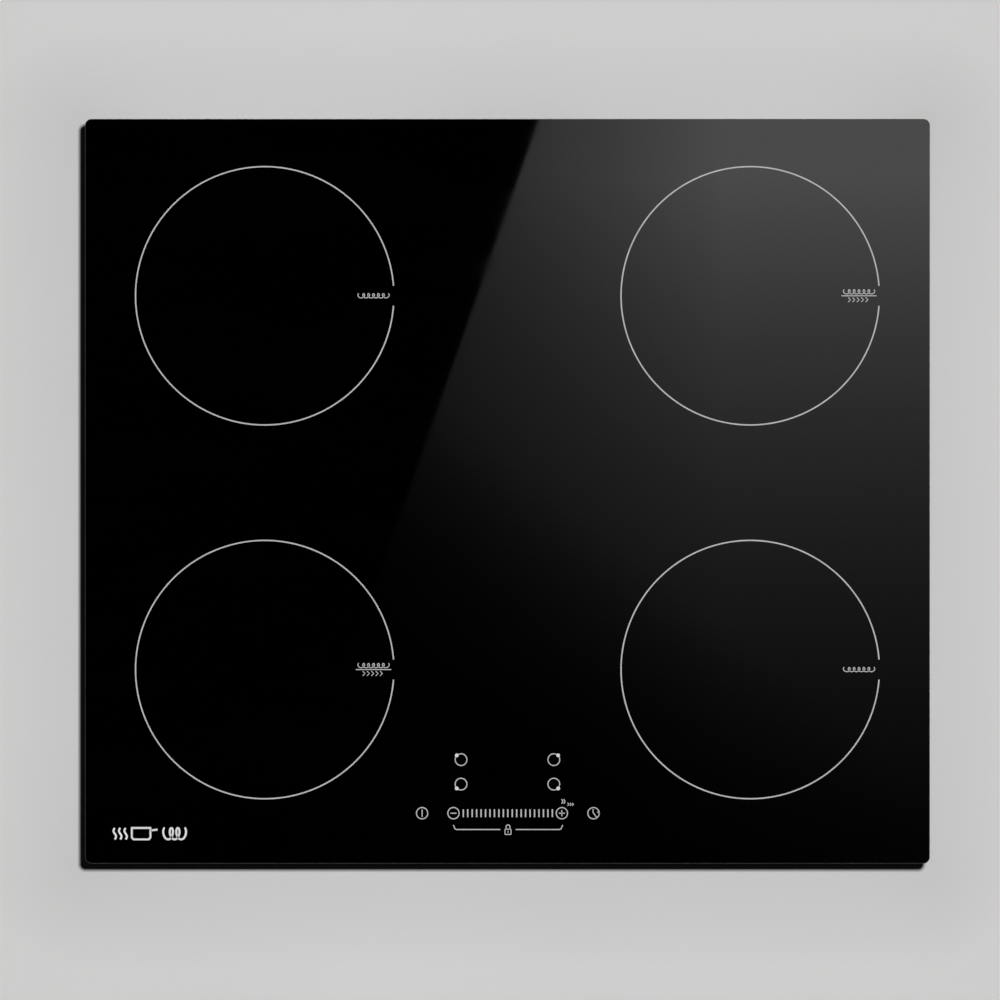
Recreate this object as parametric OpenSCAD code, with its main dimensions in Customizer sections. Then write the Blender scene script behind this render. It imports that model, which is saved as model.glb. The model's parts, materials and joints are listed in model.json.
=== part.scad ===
// Built-in electric induction cooktop with four round cooking zones.
// The origin is the middle of the underside. +X is right, +Y is to the rear, +Z is up.

/* [Overall] */
// Width of the glass plate, left to right
glass_w = 590; // [588:1:760]
// Depth of the glass plate, front to rear
glass_d = 520; // [515:1:640]
// Height from the feet to the cooking surface
total_h = 62; // [61:1:90]

/* [Glass] */
// Thickness of the glass plate
glass_t = 4; // [3:0.5:6]
// Radius of the glass plate's corners
glass_corner_r = 4.5; // [2:0.5:8]
// Width and height of the bevel along the top edge
glass_arris = 0.4; // [0.2:0.1:0.8]
// How far the glass reaches past the worktop cut-out on each side
rim_lap = 15; // [14:1:30]
// Thickness of the silicone bead between the glass and its frame
adhesive_t = 1; // [0.6:0.1:1.5]
// Thickness of the foam gasket under the rim
gasket_t = 2; // [1.5:0.1:3]
// Width of the foam gasket under the rim
gasket_w = 9; // [5:0.5:9]

/* [Worktop] */
// Gap between the frame's skirt and the worktop cut-out
cutout_gap = 2; // [1:0.5:4]
// Thickness of the worktop that the clamps grip
worktop_t = 38; // [28:1:38]

/* [Casing] */
// Thickness of the steel sheet
sheet_t = 0.8; // [0.6:0.1:1]
// Outside radius of the casing's upright corners
pan_corner_r = 6; // [4:0.5:10]
// Height of the pressed feet
foot_h = 4; // [3:0.5:5]
// Width of the shelf on each side that carries the clamps
shelf_w = 22; // [22:0.5:28]
// Depth of the frame's skirt below its flange
skirt_h = 13; // [11:0.5:16]

/* [Coils] */
// Outside radius of the copper winding
winding_r = 85; // [70:1:86]
// Radius of the hole in the middle of the winding
winding_hole_r = 26; // [26:1:32]
// Thickness of the litz wire
litz_d = 2.8; // [2:0.1:3]
// Distance from the glass plate's side to a coil's centre
coil_side_gap = 125.5; // [122:0.5:130]
// Distance from the glass plate's rear edge to a rear coil's centre
coil_rear_gap = 123.5; // [115:0.5:128]
// Distance from the glass plate's front edge to a front coil's centre
coil_front_gap = 135.5; // [132:0.5:142]
// Height of the springs that press each coil up to the glass
spring_h = 7; // [5:0.5:9]

/* [Blowers] */
// Radius of the blower wheel
wheel_r = 36; // [30:1:37]
// Radius of the blower wheel's shaft
shaft_r = 1.5; // [1:0.1:2]
// Height of the blower housing
blower_h = 28; // [26:0.5:28]

/* [Clamps] */
// Radius of the clamp screw's shank
clamp_screw_r = 2.5; // [2:0.1:3]
// Length of the clamp arm from its screw to its tip
clamp_reach = 25; // [22:1:26]
// Width of the clamp arm
clamp_arm_w = 18; // [12:1:18]
// Thickness of the clamp arm
clamp_arm_t = 2; // [1.5:0.1:2.5]
// How far a clamp can be screwed up from its rest height
clamp_lift = 10; // [6:1:10]

/* [Mains connection] */
// Radius of the hole that the mains cable comes through
cable_r = 6; // [4:0.5:7]
// Width of the terminal box
terminal_w = 108; // [100:1:110]
// Height of the terminal box
terminal_h = 28; // [27:0.5:30]
// Wall of the terminal box
terminal_wall = 2; // [1.5:0.1:2.5]

/* [Hidden] */
$fn = 64;

slip = 0.1;          // gap between sheet parts that slide together
over = 1;            // how far a cutting shape runs past the face it cuts
running = 0.05;      // radial gap between a shaft and its bore

// Heights, from the cooking surface down
glass_z = total_h - glass_t;
flange_z = glass_z - adhesive_t;
worktop_z = glass_z - gasket_t;
skirt_z = flange_z - skirt_h;
pan_top = flange_z - sheet_t - 2.2;
frame_screw_z = (skirt_z + pan_top) / 2;
mica_t = 0.8;
mica_z = glass_z - mica_t - 0.2;
carrier_h = 11;
carrier_z = mica_z - carrier_h;
carrier_disc_t = 1.3;
winding_z = mica_z - litz_d - 1.7;
carrier_disc_z = winding_z - carrier_disc_t;
tray_t = 1.2;
tray_top = carrier_z - spring_h;
tray_z = tray_top - tray_t;
floor_z = foot_h + sheet_t;
board_t = 1.6;
board_hole_r = 1.7;
board_hole_edge = 8; // from a power board's edges to the middle of its holes
standoff_r = 3.5;
standoff_tip_r = 1.6;
standoff_tip_h = 1.4;
tab_h = 6.2;
board_z = floor_z + 5.2;
board_top = board_z + board_t;

// Casing outlines, as half sizes
skirt_x = glass_w / 2 - rim_lap - cutout_gap;
skirt_y = glass_d / 2 - rim_lap - cutout_gap;
pan_x = skirt_x - sheet_t - slip;
pan_y = skirt_y - sheet_t - slip;
tub_x = pan_x - shelf_w;
pan_in_y = pan_y - sheet_t;
tub_in_x = tub_x - sheet_t;
flange_lap = 6;
bead_r = 7;
bead_h = 1.4;
bead_l = 190;

// Clamps
tooth_z = worktop_z - worktop_t;
tooth_h = 3;
arm_z = tooth_z - tooth_h - clamp_arm_t;
shelf_z = tooth_z + clamp_lift + 2;
clamp_x = tub_x + 12;
clamp_y = pan_y - 92;
clamp_head_r = 4.5;
clamp_head_h = 3.5;
clamp_nut_h = 4.2;
arm_gap = 0.4;

// Coils
coil_x = glass_w / 2 - coil_side_gap;
rear_coil_y = glass_d / 2 - coil_rear_gap;
front_coil_y = coil_front_gap - glass_d / 2;
carrier_ring_r = winding_r + 1;
carrier_ring_t = 2;
hub_r = winding_hole_r - 1;
hub_t = 3;
spring_pitch_r = winding_r - 25;
spring_r = 4.5;
spring_wire_r = 0.55;
spring_turns = 3;
spring_angles = [22.5, 157.5, 292.5];
ferrite_w = 15;
ferrite_t = 4.4;
glue_gap = 0.1;
sensor_r = 5;
lead_r = 2;
lead_pitch_r = winding_r - 7;
lead_angle = 14;     // each lead leaves its coil this far to one side of the line to the middle
lead_x = lead_pitch_r * cos(lead_angle);
lead_y = lead_pitch_r * sin(lead_angle);

// Trays and their posts
tray_in_x = coil_x - carrier_ring_r - 6.5;
tray_out_x = pan_x - 19;
tray_y = pan_y - 15;
tray_lip = 5;
post_r = 5;
post_in_x = tray_in_x + 13;
post_out_x = tray_out_x - 18;
post_y = pan_y - 22;
post_bore_h = 12;
tray_screw_r = 1.5;

// Power boards, with the blowers behind them
board_out_x = tub_in_x - 19;
board_w = 170;
board_in_x = board_out_x - board_w;
board_front_y = 29.5 - pan_in_y;
board_rear_y = pan_in_y - 153.3;
lead_tab_x = board_in_x + 10;
blower_x = board_out_x - 70;
blower_y = pan_in_y - 76.3;
scroll_r = wheel_r + 4;
scroll_growth = 8;
blower_wall = 1.5;
outlet_y = -scroll_r - 10;
inlet_r = wheel_r - 6;
blower_top = floor_z + blower_h;
sink_x = board_out_x - 100;
sink_w = 90;
sink_l = 110;
sink_y = board_rear_y - 103;
sink_h = 22;

// Filter board and terminal box
filter_w = 84;
filter_d = 96;
filter_y = pan_in_y - 175.3;
terminal_y = pan_in_y - 55.3;
terminal_rear_y = pan_y + 0.7;
terminal_z = floor_z;
lid_w = 72;
lid_gap = 0.3;
lid_t = 2;
lid_x = terminal_wall - terminal_w / 2 + lid_gap;
hinge_r = 1.5;
knuckle_r = lid_t + hinge_r + lid_gap;
hinge_y = terminal_rear_y - knuckle_r;
hinge_z = terminal_z + terminal_wall + knuckle_r + lid_gap;
gland_x = terminal_w / 2 - 17;
gland_z = terminal_z + terminal_h / 2;
gland_l = 14;
gland_flange_t = 1.2;

// Touch controls
touch_w = 156;
touch_d = 60;
touch_t = 1.2;
touch_y = 3 + touch_d / 2 - pan_in_y;
touch_z = glass_z - 12;
touch_wall = 1.8;
key_r = 3.5;
key_row_y = touch_y - 16.6;
power_key_x = 59.8;
step_key_x = 37.8;
lock_key_y = key_row_y - 8.6;
slider_w = 63;
slider_d = 6;
zone_key_x = 32.4;
zone_key_rows = [touch_y + 3.8, touch_y + 20.9];

module rounded_rect(w, d, r) {
    square([w - 2 * r, d], center = true);
    square([w, d - 2 * r], center = true);
    for (sx = [-1, 1], sy = [-1, 1])
        translate([sx * (w / 2 - r), sy * (d / 2 - r)]) circle(r = r);
}

// A flat plate with round corners, given by half sizes, from height z
module plate(hx, hy, r, z, h) {
    translate([0, 0, z]) linear_extrude(h) rounded_rect(2 * hx, 2 * hy, r);
}

// A closed frame between two rounded outlines, given by half sizes
module frame_ring(hx, hy, r, in_x, in_y, in_r, z, h) {
    difference() {
        plate(hx, hy, r, z, h);
        plate(in_x, in_y, in_r, z - over, h + 2 * over);
    }
}

// A box given by its low corner and its size
module block(x, y, z, w, d, h) {
    translate([x, y, z]) cube([w, d, h]);
}

module tube(r_out, r_in, z, h) {
    translate([0, 0, z]) difference() {
        cylinder(h = h, r = r_out);
        translate([0, 0, -over]) cylinder(h = h + 2 * over, r = r_in);
    }
}

// Everything on one side is drawn on the right and mirrored for the left
module on_side(side) {
    if (side < 0) mirror([1, 0, 0]) children();
    else children();
}

module both_sides() {
    for (side = [-1, 1]) on_side(side) children();
}

module at_coil(rear) {
    translate([coil_x, rear ? rear_coil_y : front_coil_y, 0]) children();
}

module at_all_coils() {
    both_sides() for (rear = [false, true]) at_coil(rear) children();
}

module at_corner(side, rear) {
    on_side(side) translate([clamp_x, rear * clamp_y, 0]) children();
}

module at_all_corners() {
    for (side = [-1, 1], rear = [-1, 1]) at_corner(side, rear) children();
}

// A screw along +Z with its seat at z = 0, a domed head above and a cross recess
module pan_screw(head_r, head_h, shank_r, shank_l) {
    difference() {
        union() {
            cylinder(h = head_h * 0.6, r = head_r);
            translate([0, 0, head_h * 0.6]) cylinder(h = head_h * 0.4, r1 = head_r, r2 = head_r * 0.75);
            translate([0, 0, -shank_l]) cylinder(h = shank_l + 0.1, r = shank_r);
        }
        for (turn = [0, 90]) rotate([0, 0, turn])
            translate([-head_r * 0.55, -0.4, head_h * 0.5]) cube([head_r * 1.1, 0.8, head_h]);
    }
}

// Round bars swept along a path
function unit(v) = v / norm(v);
function path_dir(p, i) = unit(p[min(i + 1, len(p) - 1)] - p[max(i - 1, 0)]);
function bend(a, b, c, t) = (1 - t) * (1 - t) * a + 2 * t * (1 - t) * b + t * t * c;
function toward(a, b, d) = a + unit(b - a) * min(d, norm(b - a) / 2);
function eased(p, r) = [
    p[0],
    for (i = [1 : len(p) - 2], t = [0, 0.5, 1])
        bend(toward(p[i], p[i - 1], r), p[i], toward(p[i], p[i + 1], r), t),
    p[len(p) - 1]];

module wire(path, r, sides, aside) {
    rings = len(path);
    points = [for (i = [0 : rings - 1], k = [0 : sides - 1])
        let (d = path_dir(path, i), u = unit(cross(d, aside)), v = cross(d, u), a = 360 * (k + 0.5) / sides)
        path[i] + r * (cos(a) * u + sin(a) * v)];
    skin = [for (i = [0 : rings - 2], k = [0 : sides - 1])
        let (n = (k + 1) % sides, j = i * sides)
        each [[j + k, j + n, j + sides + k], [j + n, j + sides + n, j + sides + k]]];
    near_end = [for (k = [sides - 1 : -1 : 0]) k];
    far_end = [for (k = [0 : sides - 1]) (rings - 1) * sides + k];
    polyhedron(points, concat(skin, [near_end, far_end]));
}

// Ceramic glass plate with a beveled top edge
module glass_top() {
    hx = glass_w / 2;
    hy = glass_d / 2;
    r = glass_corner_r;
    low = glass_t - glass_arris;
    color([0.03, 0.03, 0.035]) translate([0, 0, glass_z]) {
        translate([-hx + r, 0, 0]) rotate([90, 0, 90]) linear_extrude(glass_w - 2 * r)
            polygon([[-hy, 0], [hy, 0], [hy, low], [hy - glass_arris, glass_t],
                [glass_arris - hy, glass_t], [-hy, low]]);
        translate([0, hy - r, 0]) rotate([90, 0, 0]) linear_extrude(glass_d - 2 * r)
            polygon([[-hx, 0], [hx, 0], [hx, low], [hx - glass_arris, glass_t],
                [glass_arris - hx, glass_t], [-hx, low]]);
        for (sx = [-1, 1], sy = [-1, 1]) translate([sx * (hx - r), sy * (hy - r), 0]) {
            cylinder(h = low, r = r);
            translate([0, 0, low]) cylinder(h = glass_arris, r1 = r, r2 = r - glass_arris);
        }
    }
}

// Bead of black silicone that bonds the glass to the frame's flange
module glass_adhesive() {
    color([0.12, 0.12, 0.12]) frame_ring(skirt_x + flange_lap - 0.5, skirt_y + flange_lap - 0.5, 4,
        skirt_x - sheet_t, skirt_y - sheet_t, pan_corner_r, flange_z, adhesive_t);
}

// Foam seal that rests on the worktop
module rim_gasket() {
    out_x = glass_w / 2 - 1;
    out_y = glass_d / 2 - 1;
    color([0.2, 0.2, 0.21]) frame_ring(out_x, out_y, 4, out_x - gasket_w, out_y - gasket_w, 4,
        worktop_z, gasket_t);
}

// Positions of the frame screws: [angle of the wall they sit in, distance along it, wall distance]
frame_screw_places = [
    for (y = [-80, 80]) each [[90, y, skirt_x], [-90, y, skirt_x]],
    for (side = [-1, 1], x = [skirt_x - 158, skirt_x - 58])
        each [[180, side * x, skirt_y], [0, side * x, skirt_y]]];

// Stands a child with its +Z pointing out of each wall at its frame screws
module at_frame_screws() {
    for (place = frame_screw_places)
        rotate([0, 0, -place[0]]) translate([place[1], place[2], frame_screw_z])
            rotate([-90, 0, 0]) children();
}

// Sheet frame: a skirt around the casing and a flange under the glass
module glass_frame() {
    color([0.62, 0.63, 0.64]) difference() {
        union() {
            frame_ring(skirt_x, skirt_y, pan_corner_r + sheet_t, skirt_x - sheet_t, skirt_y - sheet_t,
                pan_corner_r, skirt_z, skirt_h);
            frame_ring(skirt_x + flange_lap, skirt_y + flange_lap, 4, skirt_x - sheet_t,
                skirt_y - sheet_t, pan_corner_r, flange_z - sheet_t, sheet_t);
        }
        at_frame_screws() translate([0, 0, -3]) cylinder(h = 6, r = 2);
    }
}

module frame_screws() {
    color([0.75, 0.75, 0.74]) at_frame_screws() pan_screw(3.5, 1.8, 1.75, 6);
}

// Ring-shaped air slots in the floor under each blower, with four bridges across them
module air_grille() {
    slot = 4;
    land = 3;
    bridge = 4;
    difference() {
        for (r = [8 : slot + land : inlet_r - 1]) tube(r + slot, r, foot_h - over, sheet_t + 2 * over);
        for (turn = [45, 135]) rotate([0, 0, turn])
            block(-bridge / 2, -inlet_r - 5, foot_h - 2 * over, bridge, 2 * inlet_r + 10, sheet_t + 4 * over);
    }
}

// A row of upright air slots through a wall, from x onwards
module wall_slots(x, count, y) {
    slot = 4;
    slot_h = 14;
    for (i = [0 : count - 1])
        block(x + 2 * slot * i, y - over, board_z + 4, slot, sheet_t + 2 * over, slot_h);
}

// Stiffening beads pressed down into the floor, each a long stadium
bead_places = [for (side = [-1, 1], x = [30, 135, 200]) side * x];

module bead(x, r, z, h) {
    front = board_front_y + 60;
    translate([x, 0, z]) linear_extrude(h) {
        translate([-r, front]) square([2 * r, bead_l]);
        for (y = [front, front + bead_l]) translate([0, y]) circle(r = r);
    }
}

feet = [for (x = [40 - tub_x, 0, tub_x - 40], y = [-1, 1] * (pan_y - 60)) [x, y]];
foot_low_r = 8;
foot_top_r = 14;

// Pressed steel casing: tub, shelf for the clamps, upper wall and six feet
module base_pan() {
    inner_r = pan_corner_r - sheet_t;
    color([0.66, 0.67, 0.68]) difference() {
        union() {
            plate(tub_x, pan_y, pan_corner_r, foot_h, shelf_z + sheet_t - foot_h);
            plate(pan_x, pan_y, pan_corner_r, shelf_z, pan_top - shelf_z);
            for (p = feet) translate([p[0], p[1], 0])
                cylinder(h = foot_h + 0.1, r1 = foot_low_r, r2 = foot_top_r);
            for (x = bead_places) bead(x, bead_r, foot_h - bead_h, bead_h + 0.1);
        }
        plate(tub_in_x, pan_in_y, inner_r, floor_z, total_h);
        plate(pan_x - sheet_t, pan_in_y, inner_r, shelf_z + sheet_t, total_h);
        for (p = feet) translate([p[0], p[1], sheet_t])
            cylinder(h = foot_h + 0.1, r1 = foot_low_r - sheet_t, r2 = foot_top_r - sheet_t);
        for (x = bead_places) bead(x, bead_r - sheet_t, foot_h - bead_h + sheet_t, bead_h + sheet_t);
        both_sides() translate([blower_x, blower_y, 0]) air_grille();
        both_sides() wall_slots(terminal_w / 2 + 14, 6, pan_in_y);
        both_sides() wall_slots(board_in_x + 10, 18, -pan_y);
        at_frame_screws() translate([0, 0, -4]) cylinder(h = 8, r = 1.8);
        at_all_corners() translate([0, 0, shelf_z - over])
            cylinder(h = sheet_t + 2 * over, r = clamp_screw_r + 0.5);
        block(-terminal_w / 2 - 0.2, pan_in_y - over, terminal_z, terminal_w + 0.4,
            sheet_t + 2 * over, terminal_h + 0.2);
    }
}

tray_post_places = [for (x = [post_in_x, post_out_x], y = [-1, 1] * post_y) [x, y]];

// Aluminium tray that two coils stand on, with turned-down edges
module coil_tray() {
    w = tray_out_x - tray_in_x;
    cut_h = tray_t + 2 * over;
    hub_hole_r = 14;
    slot_near_r = 28;
    slot_l = 22;
    slot_w = 6;
    color([0.8, 0.81, 0.82]) difference() {
        block(tray_in_x, -tray_y, tray_top - tray_t - tray_lip, w, 2 * tray_y, tray_t + tray_lip);
        block(tray_in_x + tray_t, -tray_y + tray_t, tray_z - tray_lip - over, w - 2 * tray_t,
            2 * (tray_y - tray_t), tray_lip + over);
        for (rear = [false, true]) at_coil(rear) {
            translate([0, 0, tray_z - over]) cylinder(h = cut_h, r = hub_hole_r);
            for (side = [-1, 1]) translate([-lead_x, side * lead_y, tray_z - over])
                cylinder(h = cut_h, r = lead_r + 3);
            for (turn = [67.5, 112.5, 247.5, 292.5]) rotate([0, 0, turn])
                block(slot_near_r, -slot_w / 2, tray_z - over, slot_l, slot_w, cut_h);
        }
        for (p = tray_post_places) translate([p[0], p[1], tray_z - over])
            cylinder(h = cut_h, r = tray_screw_r + 0.2);
    }
}
module coil_tray_left() on_side(-1) coil_tray();
module coil_tray_right() coil_tray();

module tray_posts() {
    color([0.75, 0.7, 0.5]) both_sides() for (p = tray_post_places) translate([p[0], p[1], 0])
        difference() {
            translate([0, 0, floor_z]) cylinder(h = tray_z - floor_z, r = post_r);
            translate([0, 0, tray_z - post_bore_h])
                cylinder(h = post_bore_h + over, r = tray_screw_r + running);
        }
}

module tray_screws() {
    color([0.75, 0.75, 0.74]) both_sides() for (p = tray_post_places)
        translate([p[0], p[1], tray_top]) pan_screw(3.2, 1.8, tray_screw_r, post_bore_h - 2);
}

// Moulded coil carrier: hub, rim, disc and ribs between the ferrite bars
module coil_carrier() {
    rib_h = carrier_disc_z - carrier_z;
    rib_w = 3;
    ribs = 8;
    color([0.14, 0.14, 0.15]) difference() {
        union() {
            tube(carrier_ring_r + carrier_ring_t, carrier_ring_r, carrier_z, carrier_h);
            tube(hub_r, hub_r - hub_t, carrier_z, carrier_h);
            tube(hub_r - hub_t + 0.5, hub_r - hub_t - 3, carrier_z, 1);
            tube(carrier_ring_r + 0.5, hub_r - 0.5, carrier_disc_z, carrier_disc_t);
            for (k = [0 : ribs - 1]) rotate([0, 0, (k + 0.5) * 360 / ribs])
                block(hub_r - 0.5, -rib_w / 2, carrier_z, carrier_ring_r - hub_r + 1, rib_w, rib_h + 0.2);
            for (turn = spring_angles) rotate([0, 0, turn]) translate([spring_pitch_r, 0, carrier_z])
                cylinder(h = rib_h + 0.2, r = spring_r + 1.5);
        }
        for (side = [-1, 1]) translate([-lead_x, side * lead_y, carrier_disc_z - over])
            cylinder(h = carrier_disc_t + 2 * over, r = lead_r + 0.6);
    }
}
module coil_carrier_rear_left() on_side(-1) at_coil(true) coil_carrier();
module coil_carrier_rear_right() at_coil(true) coil_carrier();
module coil_carrier_front_left() on_side(-1) at_coil(false) coil_carrier();
module coil_carrier_front_right() at_coil(false) coil_carrier();

// Flat winding of litz wire, each turn a rounded ridge on its neighbours
module coil_winding() {
    turns = floor((winding_r - winding_hole_r) / (litz_d + 0.15));
    pitch = (winding_r - winding_hole_r - litz_d) / (turns - 1);
    color([0.72, 0.42, 0.22]) translate([0, 0, winding_z]) rotate_extrude() {
        translate([winding_hole_r + litz_d / 2, 0.4])
            square([winding_r - winding_hole_r - litz_d, litz_d - 0.8]);
        for (i = [0 : turns - 1])
            translate([winding_hole_r + litz_d / 2 + i * pitch, litz_d / 2]) circle(r = litz_d / 2);
    }
}
module coil_winding_rear_left() on_side(-1) at_coil(true) coil_winding();
module coil_winding_rear_right() at_coil(true) coil_winding();
module coil_winding_front_left() on_side(-1) at_coil(false) coil_winding();
module coil_winding_front_right() at_coil(false) coil_winding();

module ferrite_bars() {
    color([0.22, 0.22, 0.24]) at_all_coils() for (k = [0 : 7]) rotate([0, 0, 45 * k])
        block(hub_r + 3, -ferrite_w / 2, carrier_disc_z - ferrite_t - glue_gap, winding_r - hub_r - 4,
            ferrite_w, ferrite_t);
}

module mica_discs() {
    color([0.78, 0.75, 0.66]) at_all_coils()
        tube(carrier_ring_r + carrier_ring_t + 1, sensor_r + 2, mica_z, mica_t);
}

// Spring-loaded temperature sensor in the middle of each coil
module heat_sensors() {
    color([0.85, 0.85, 0.8]) at_all_coils() {
        tube(hub_r - hub_t - 0.1, sensor_r - 1.5, carrier_z + 1, 2);
        tube(sensor_r, sensor_r - 2, carrier_z + 2.9, glass_z - carrier_z - 4.5);
        translate([0, 0, glass_z - 1.7]) cylinder(h = 1.6, r = sensor_r - 0.5);
    }
}

function spring_path(h) = [for (i = [0 : 8 * spring_turns])
    let (a = 45 * i, rise = spring_wire_r + (h - 2 * spring_wire_r) * i / (8 * spring_turns))
    [spring_r * cos(a), spring_r * sin(a), rise]];

module coil_springs() {
    color([0.7, 0.7, 0.72]) at_all_coils() for (turn = spring_angles) rotate([0, 0, turn])
        translate([spring_pitch_r, 0, tray_top]) wire(spring_path(spring_h), spring_wire_r, 6, [0, 0, 1]);
}

// The two ends of each winding, down through the tray to the power board
function lead_path(rear, side) = let (
        cy = rear ? rear_coil_y : front_coil_y,
        x = coil_x - lead_x,
        y = cy + side * lead_y,
        end_y = lead_tab_y(rear, side))
    [[x, y, winding_z - slip], [x, y, tray_z - 6],
     [lead_tab_x, end_y, board_top + tab_h + 12], [lead_tab_x, end_y, board_top + tab_h]];
function lead_tab_y(rear, side) = rear ? board_rear_y - 30 + 10 * side : front_coil_y + 24 * side;

module coil_leads() {
    color([0.75, 0.3, 0.1]) both_sides() for (rear = [false, true], side = [-1, 1])
        wire(eased(lead_path(rear, side), 9), lead_r, 8, [1, 0.4, 0]);
}

module board_holes() {
    for (x = [board_in_x + board_hole_edge, board_out_x - board_hole_edge],
         y = [board_front_y + board_hole_edge, board_rear_y - board_hole_edge])
        translate([x, y, 0]) children();
}

module board_hole() {
    translate([0, 0, board_z - over]) cylinder(h = board_t + 2 * over, r = board_hole_r);
}

// A moulded post under a board, with a tip that snaps through the board's hole
module standoff() {
    translate([0, 0, floor_z]) cylinder(h = board_z - floor_z, r = standoff_r);
    translate([0, 0, board_z]) cylinder(h = board_t + standoff_tip_h, r = standoff_tip_r);
}

module power_board() {
    color([0.1, 0.32, 0.18]) difference() {
        block(board_in_x, board_front_y, board_z, board_w, board_rear_y - board_front_y, board_t);
        board_holes() board_hole();
    }
}
module power_board_left() on_side(-1) power_board();
module power_board_right() power_board();

// Extruded heat sinks with fins along the air flow
module heatsinks() {
    fins = 13;
    fin_t = 1.5;
    base_t = 4;
    side_t = 3;          // the wall that the power devices are clipped to
    pitch = (sink_w - side_t) / fins;
    color([0.78, 0.79, 0.8]) both_sides()
        translate([sink_x, sink_y + sink_l, board_top]) rotate([90, 0, 0]) linear_extrude(sink_l) {
            square([sink_w, base_t]);
            square([side_t, sink_h]);
            for (i = [1 : fins]) translate([side_t + i * pitch - fin_t, 0]) square([fin_t, sink_h]);
        }
}

// Switching transistors and the rectifier, clipped flat to the heat sink's side
module power_devices() {
    w = 15.5;
    t = 5;
    h = 17;
    leg_w = 1.2;
    leg_h = 4;
    color([0.08, 0.08, 0.09]) both_sides() for (i = [0 : 4]) {
        y = sink_y + 8 + 20 * i;
        difference() {
            block(sink_x - t, y, board_top + leg_h, t, w, h);
            translate([sink_x - t - over, y + w / 2, board_top + h]) rotate([0, 90, 0])
                cylinder(h = t + 2 * over, r = 1.6);
        }
        for (k = [-1 : 1])
            block(sink_x - 3, y + (w - leg_w) / 2 + 5 * k, board_top, leg_w / 2, leg_w, leg_h);
    }
}

module film_capacitors() {
    color([0.75, 0.12, 0.1]) both_sides() for (i = [0 : 3])
        block(board_in_x + 36, board_front_y + 60 + 46 * i, board_top, 16, 32, 22);
    color([0.75, 0.12, 0.1]) for (x = [-26, 10])
        block(x, filter_y + 50, board_top, 16, 32, 18);
}

// Ring choke: a wound toroid that lies flat on its board, given by its middle radius
module choke(r) {
    wound_r = 0.55 * r;
    rotate_extrude() translate([r, wound_r]) circle(r = wound_r);
}

module board_chokes() {
    color([0.65, 0.38, 0.18]) {
        both_sides() for (x = [42, 84]) translate([board_out_x - x, board_front_y + 60, board_top])
            choke(13);
        translate([0, filter_y + 28, board_top]) choke(12);
    }
}

// Round reservoir capacitors, flat chips, a controller and a socket on each power board
module board_parts() {
    color([0.15, 0.15, 0.17]) both_sides() {
        for (i = [0 : 3]) translate([board_out_x - 11, board_front_y + 24 + 26 * i, board_top])
            cylinder(h = 21, r = 8);
        for (i = [0 : 2]) block(board_out_x - 90 + 26 * i, board_front_y + 98, board_top, 18, 10, 2.4);
        block(board_out_x - 96, board_front_y + 18, board_top, 14, 14, 1.6);
        block(board_in_x + 30, board_front_y + 12, board_top, 30, 9, 9);
    }
}

// Brass posts that the coil leads are screwed to
module board_terminals() {
    color([0.8, 0.65, 0.3]) both_sides() for (rear = [false, true], side = [-1, 1])
        translate([lead_tab_x, lead_tab_y(rear, side), board_top]) {
            block(-4, -3.5, 0, 8, 7, 1);
            cylinder(h = tab_h, r = lead_r + 0.6);
        }
}

module board_standoffs() {
    color([0.85, 0.85, 0.82]) {
        both_sides() board_holes() standoff();
        filter_holes() standoff();
    }
}

// Blower: the scroll grows towards its outlet, which blows forward over the heat sink
function scroll_outline(wall) = let (tongue_a = 270 - asin(wall / (scroll_r + wall))) concat(
    [[scroll_r + scroll_growth + wall, outlet_y]],
    [for (a = [0 : 10 : 260]) (scroll_r + scroll_growth * (1 - a / 270) + wall) * [cos(a), sin(a)]],
    [(scroll_r + wall) * [cos(tongue_a), sin(tongue_a)], [-wall, outlet_y]]);

module blower_housing() {
    color([0.1, 0.1, 0.11]) translate([blower_x, blower_y, 0]) difference() {
        translate([0, 0, floor_z]) linear_extrude(blower_h) polygon(scroll_outline(blower_wall));
        translate([0, 0, floor_z + blower_wall]) linear_extrude(blower_h - 2 * blower_wall)
            polygon([for (p = scroll_outline(0)) p[1] == outlet_y ? p - [0, over] : p]);
        translate([0, 0, floor_z - over]) cylinder(h = blower_wall + 2 * over, r = inlet_r);
    }
}
module blower_housing_left() on_side(-1) blower_housing();
module blower_housing_right() blower_housing();

cup_r = 14;
cup_t = 1.5;
wheel_top = blower_top - blower_wall - 3.5;
wheel_z = floor_z + blower_wall + 2;
bearing_r = 3;

// Blower wheel: shaft, cup over the motor, back plate, blades and lower ring
module blower_rotor() {
    blades = 32;
    color([0.16, 0.16, 0.17]) translate([blower_x, blower_y, 0]) {
        translate([0, 0, wheel_z + 2]) cylinder(h = cup_t, r = cup_r);
        translate([0, 0, wheel_z + 2]) cylinder(h = wheel_top - wheel_z + 0.5, r = shaft_r);
        tube(cup_r, cup_r - cup_t, wheel_z + 2, wheel_top - wheel_z - 2);
        tube(wheel_r, cup_r - 0.5, wheel_top - 1.5, 1.5);
        tube(wheel_r, wheel_r - 2, wheel_z, 1.5);
        for (k = [0 : blades - 1]) rotate([0, 0, 360 * k / blades])
            translate([wheel_r - 8.5, 0, wheel_z + 0.5]) rotate([0, 0, 20])
                translate([0, -0.5, 0]) cube([7.8, 1, wheel_top - wheel_z - 1]);
    }
}
module blower_rotor_left() on_side(-1) blower_rotor();
module blower_rotor_right() blower_rotor();

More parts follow.
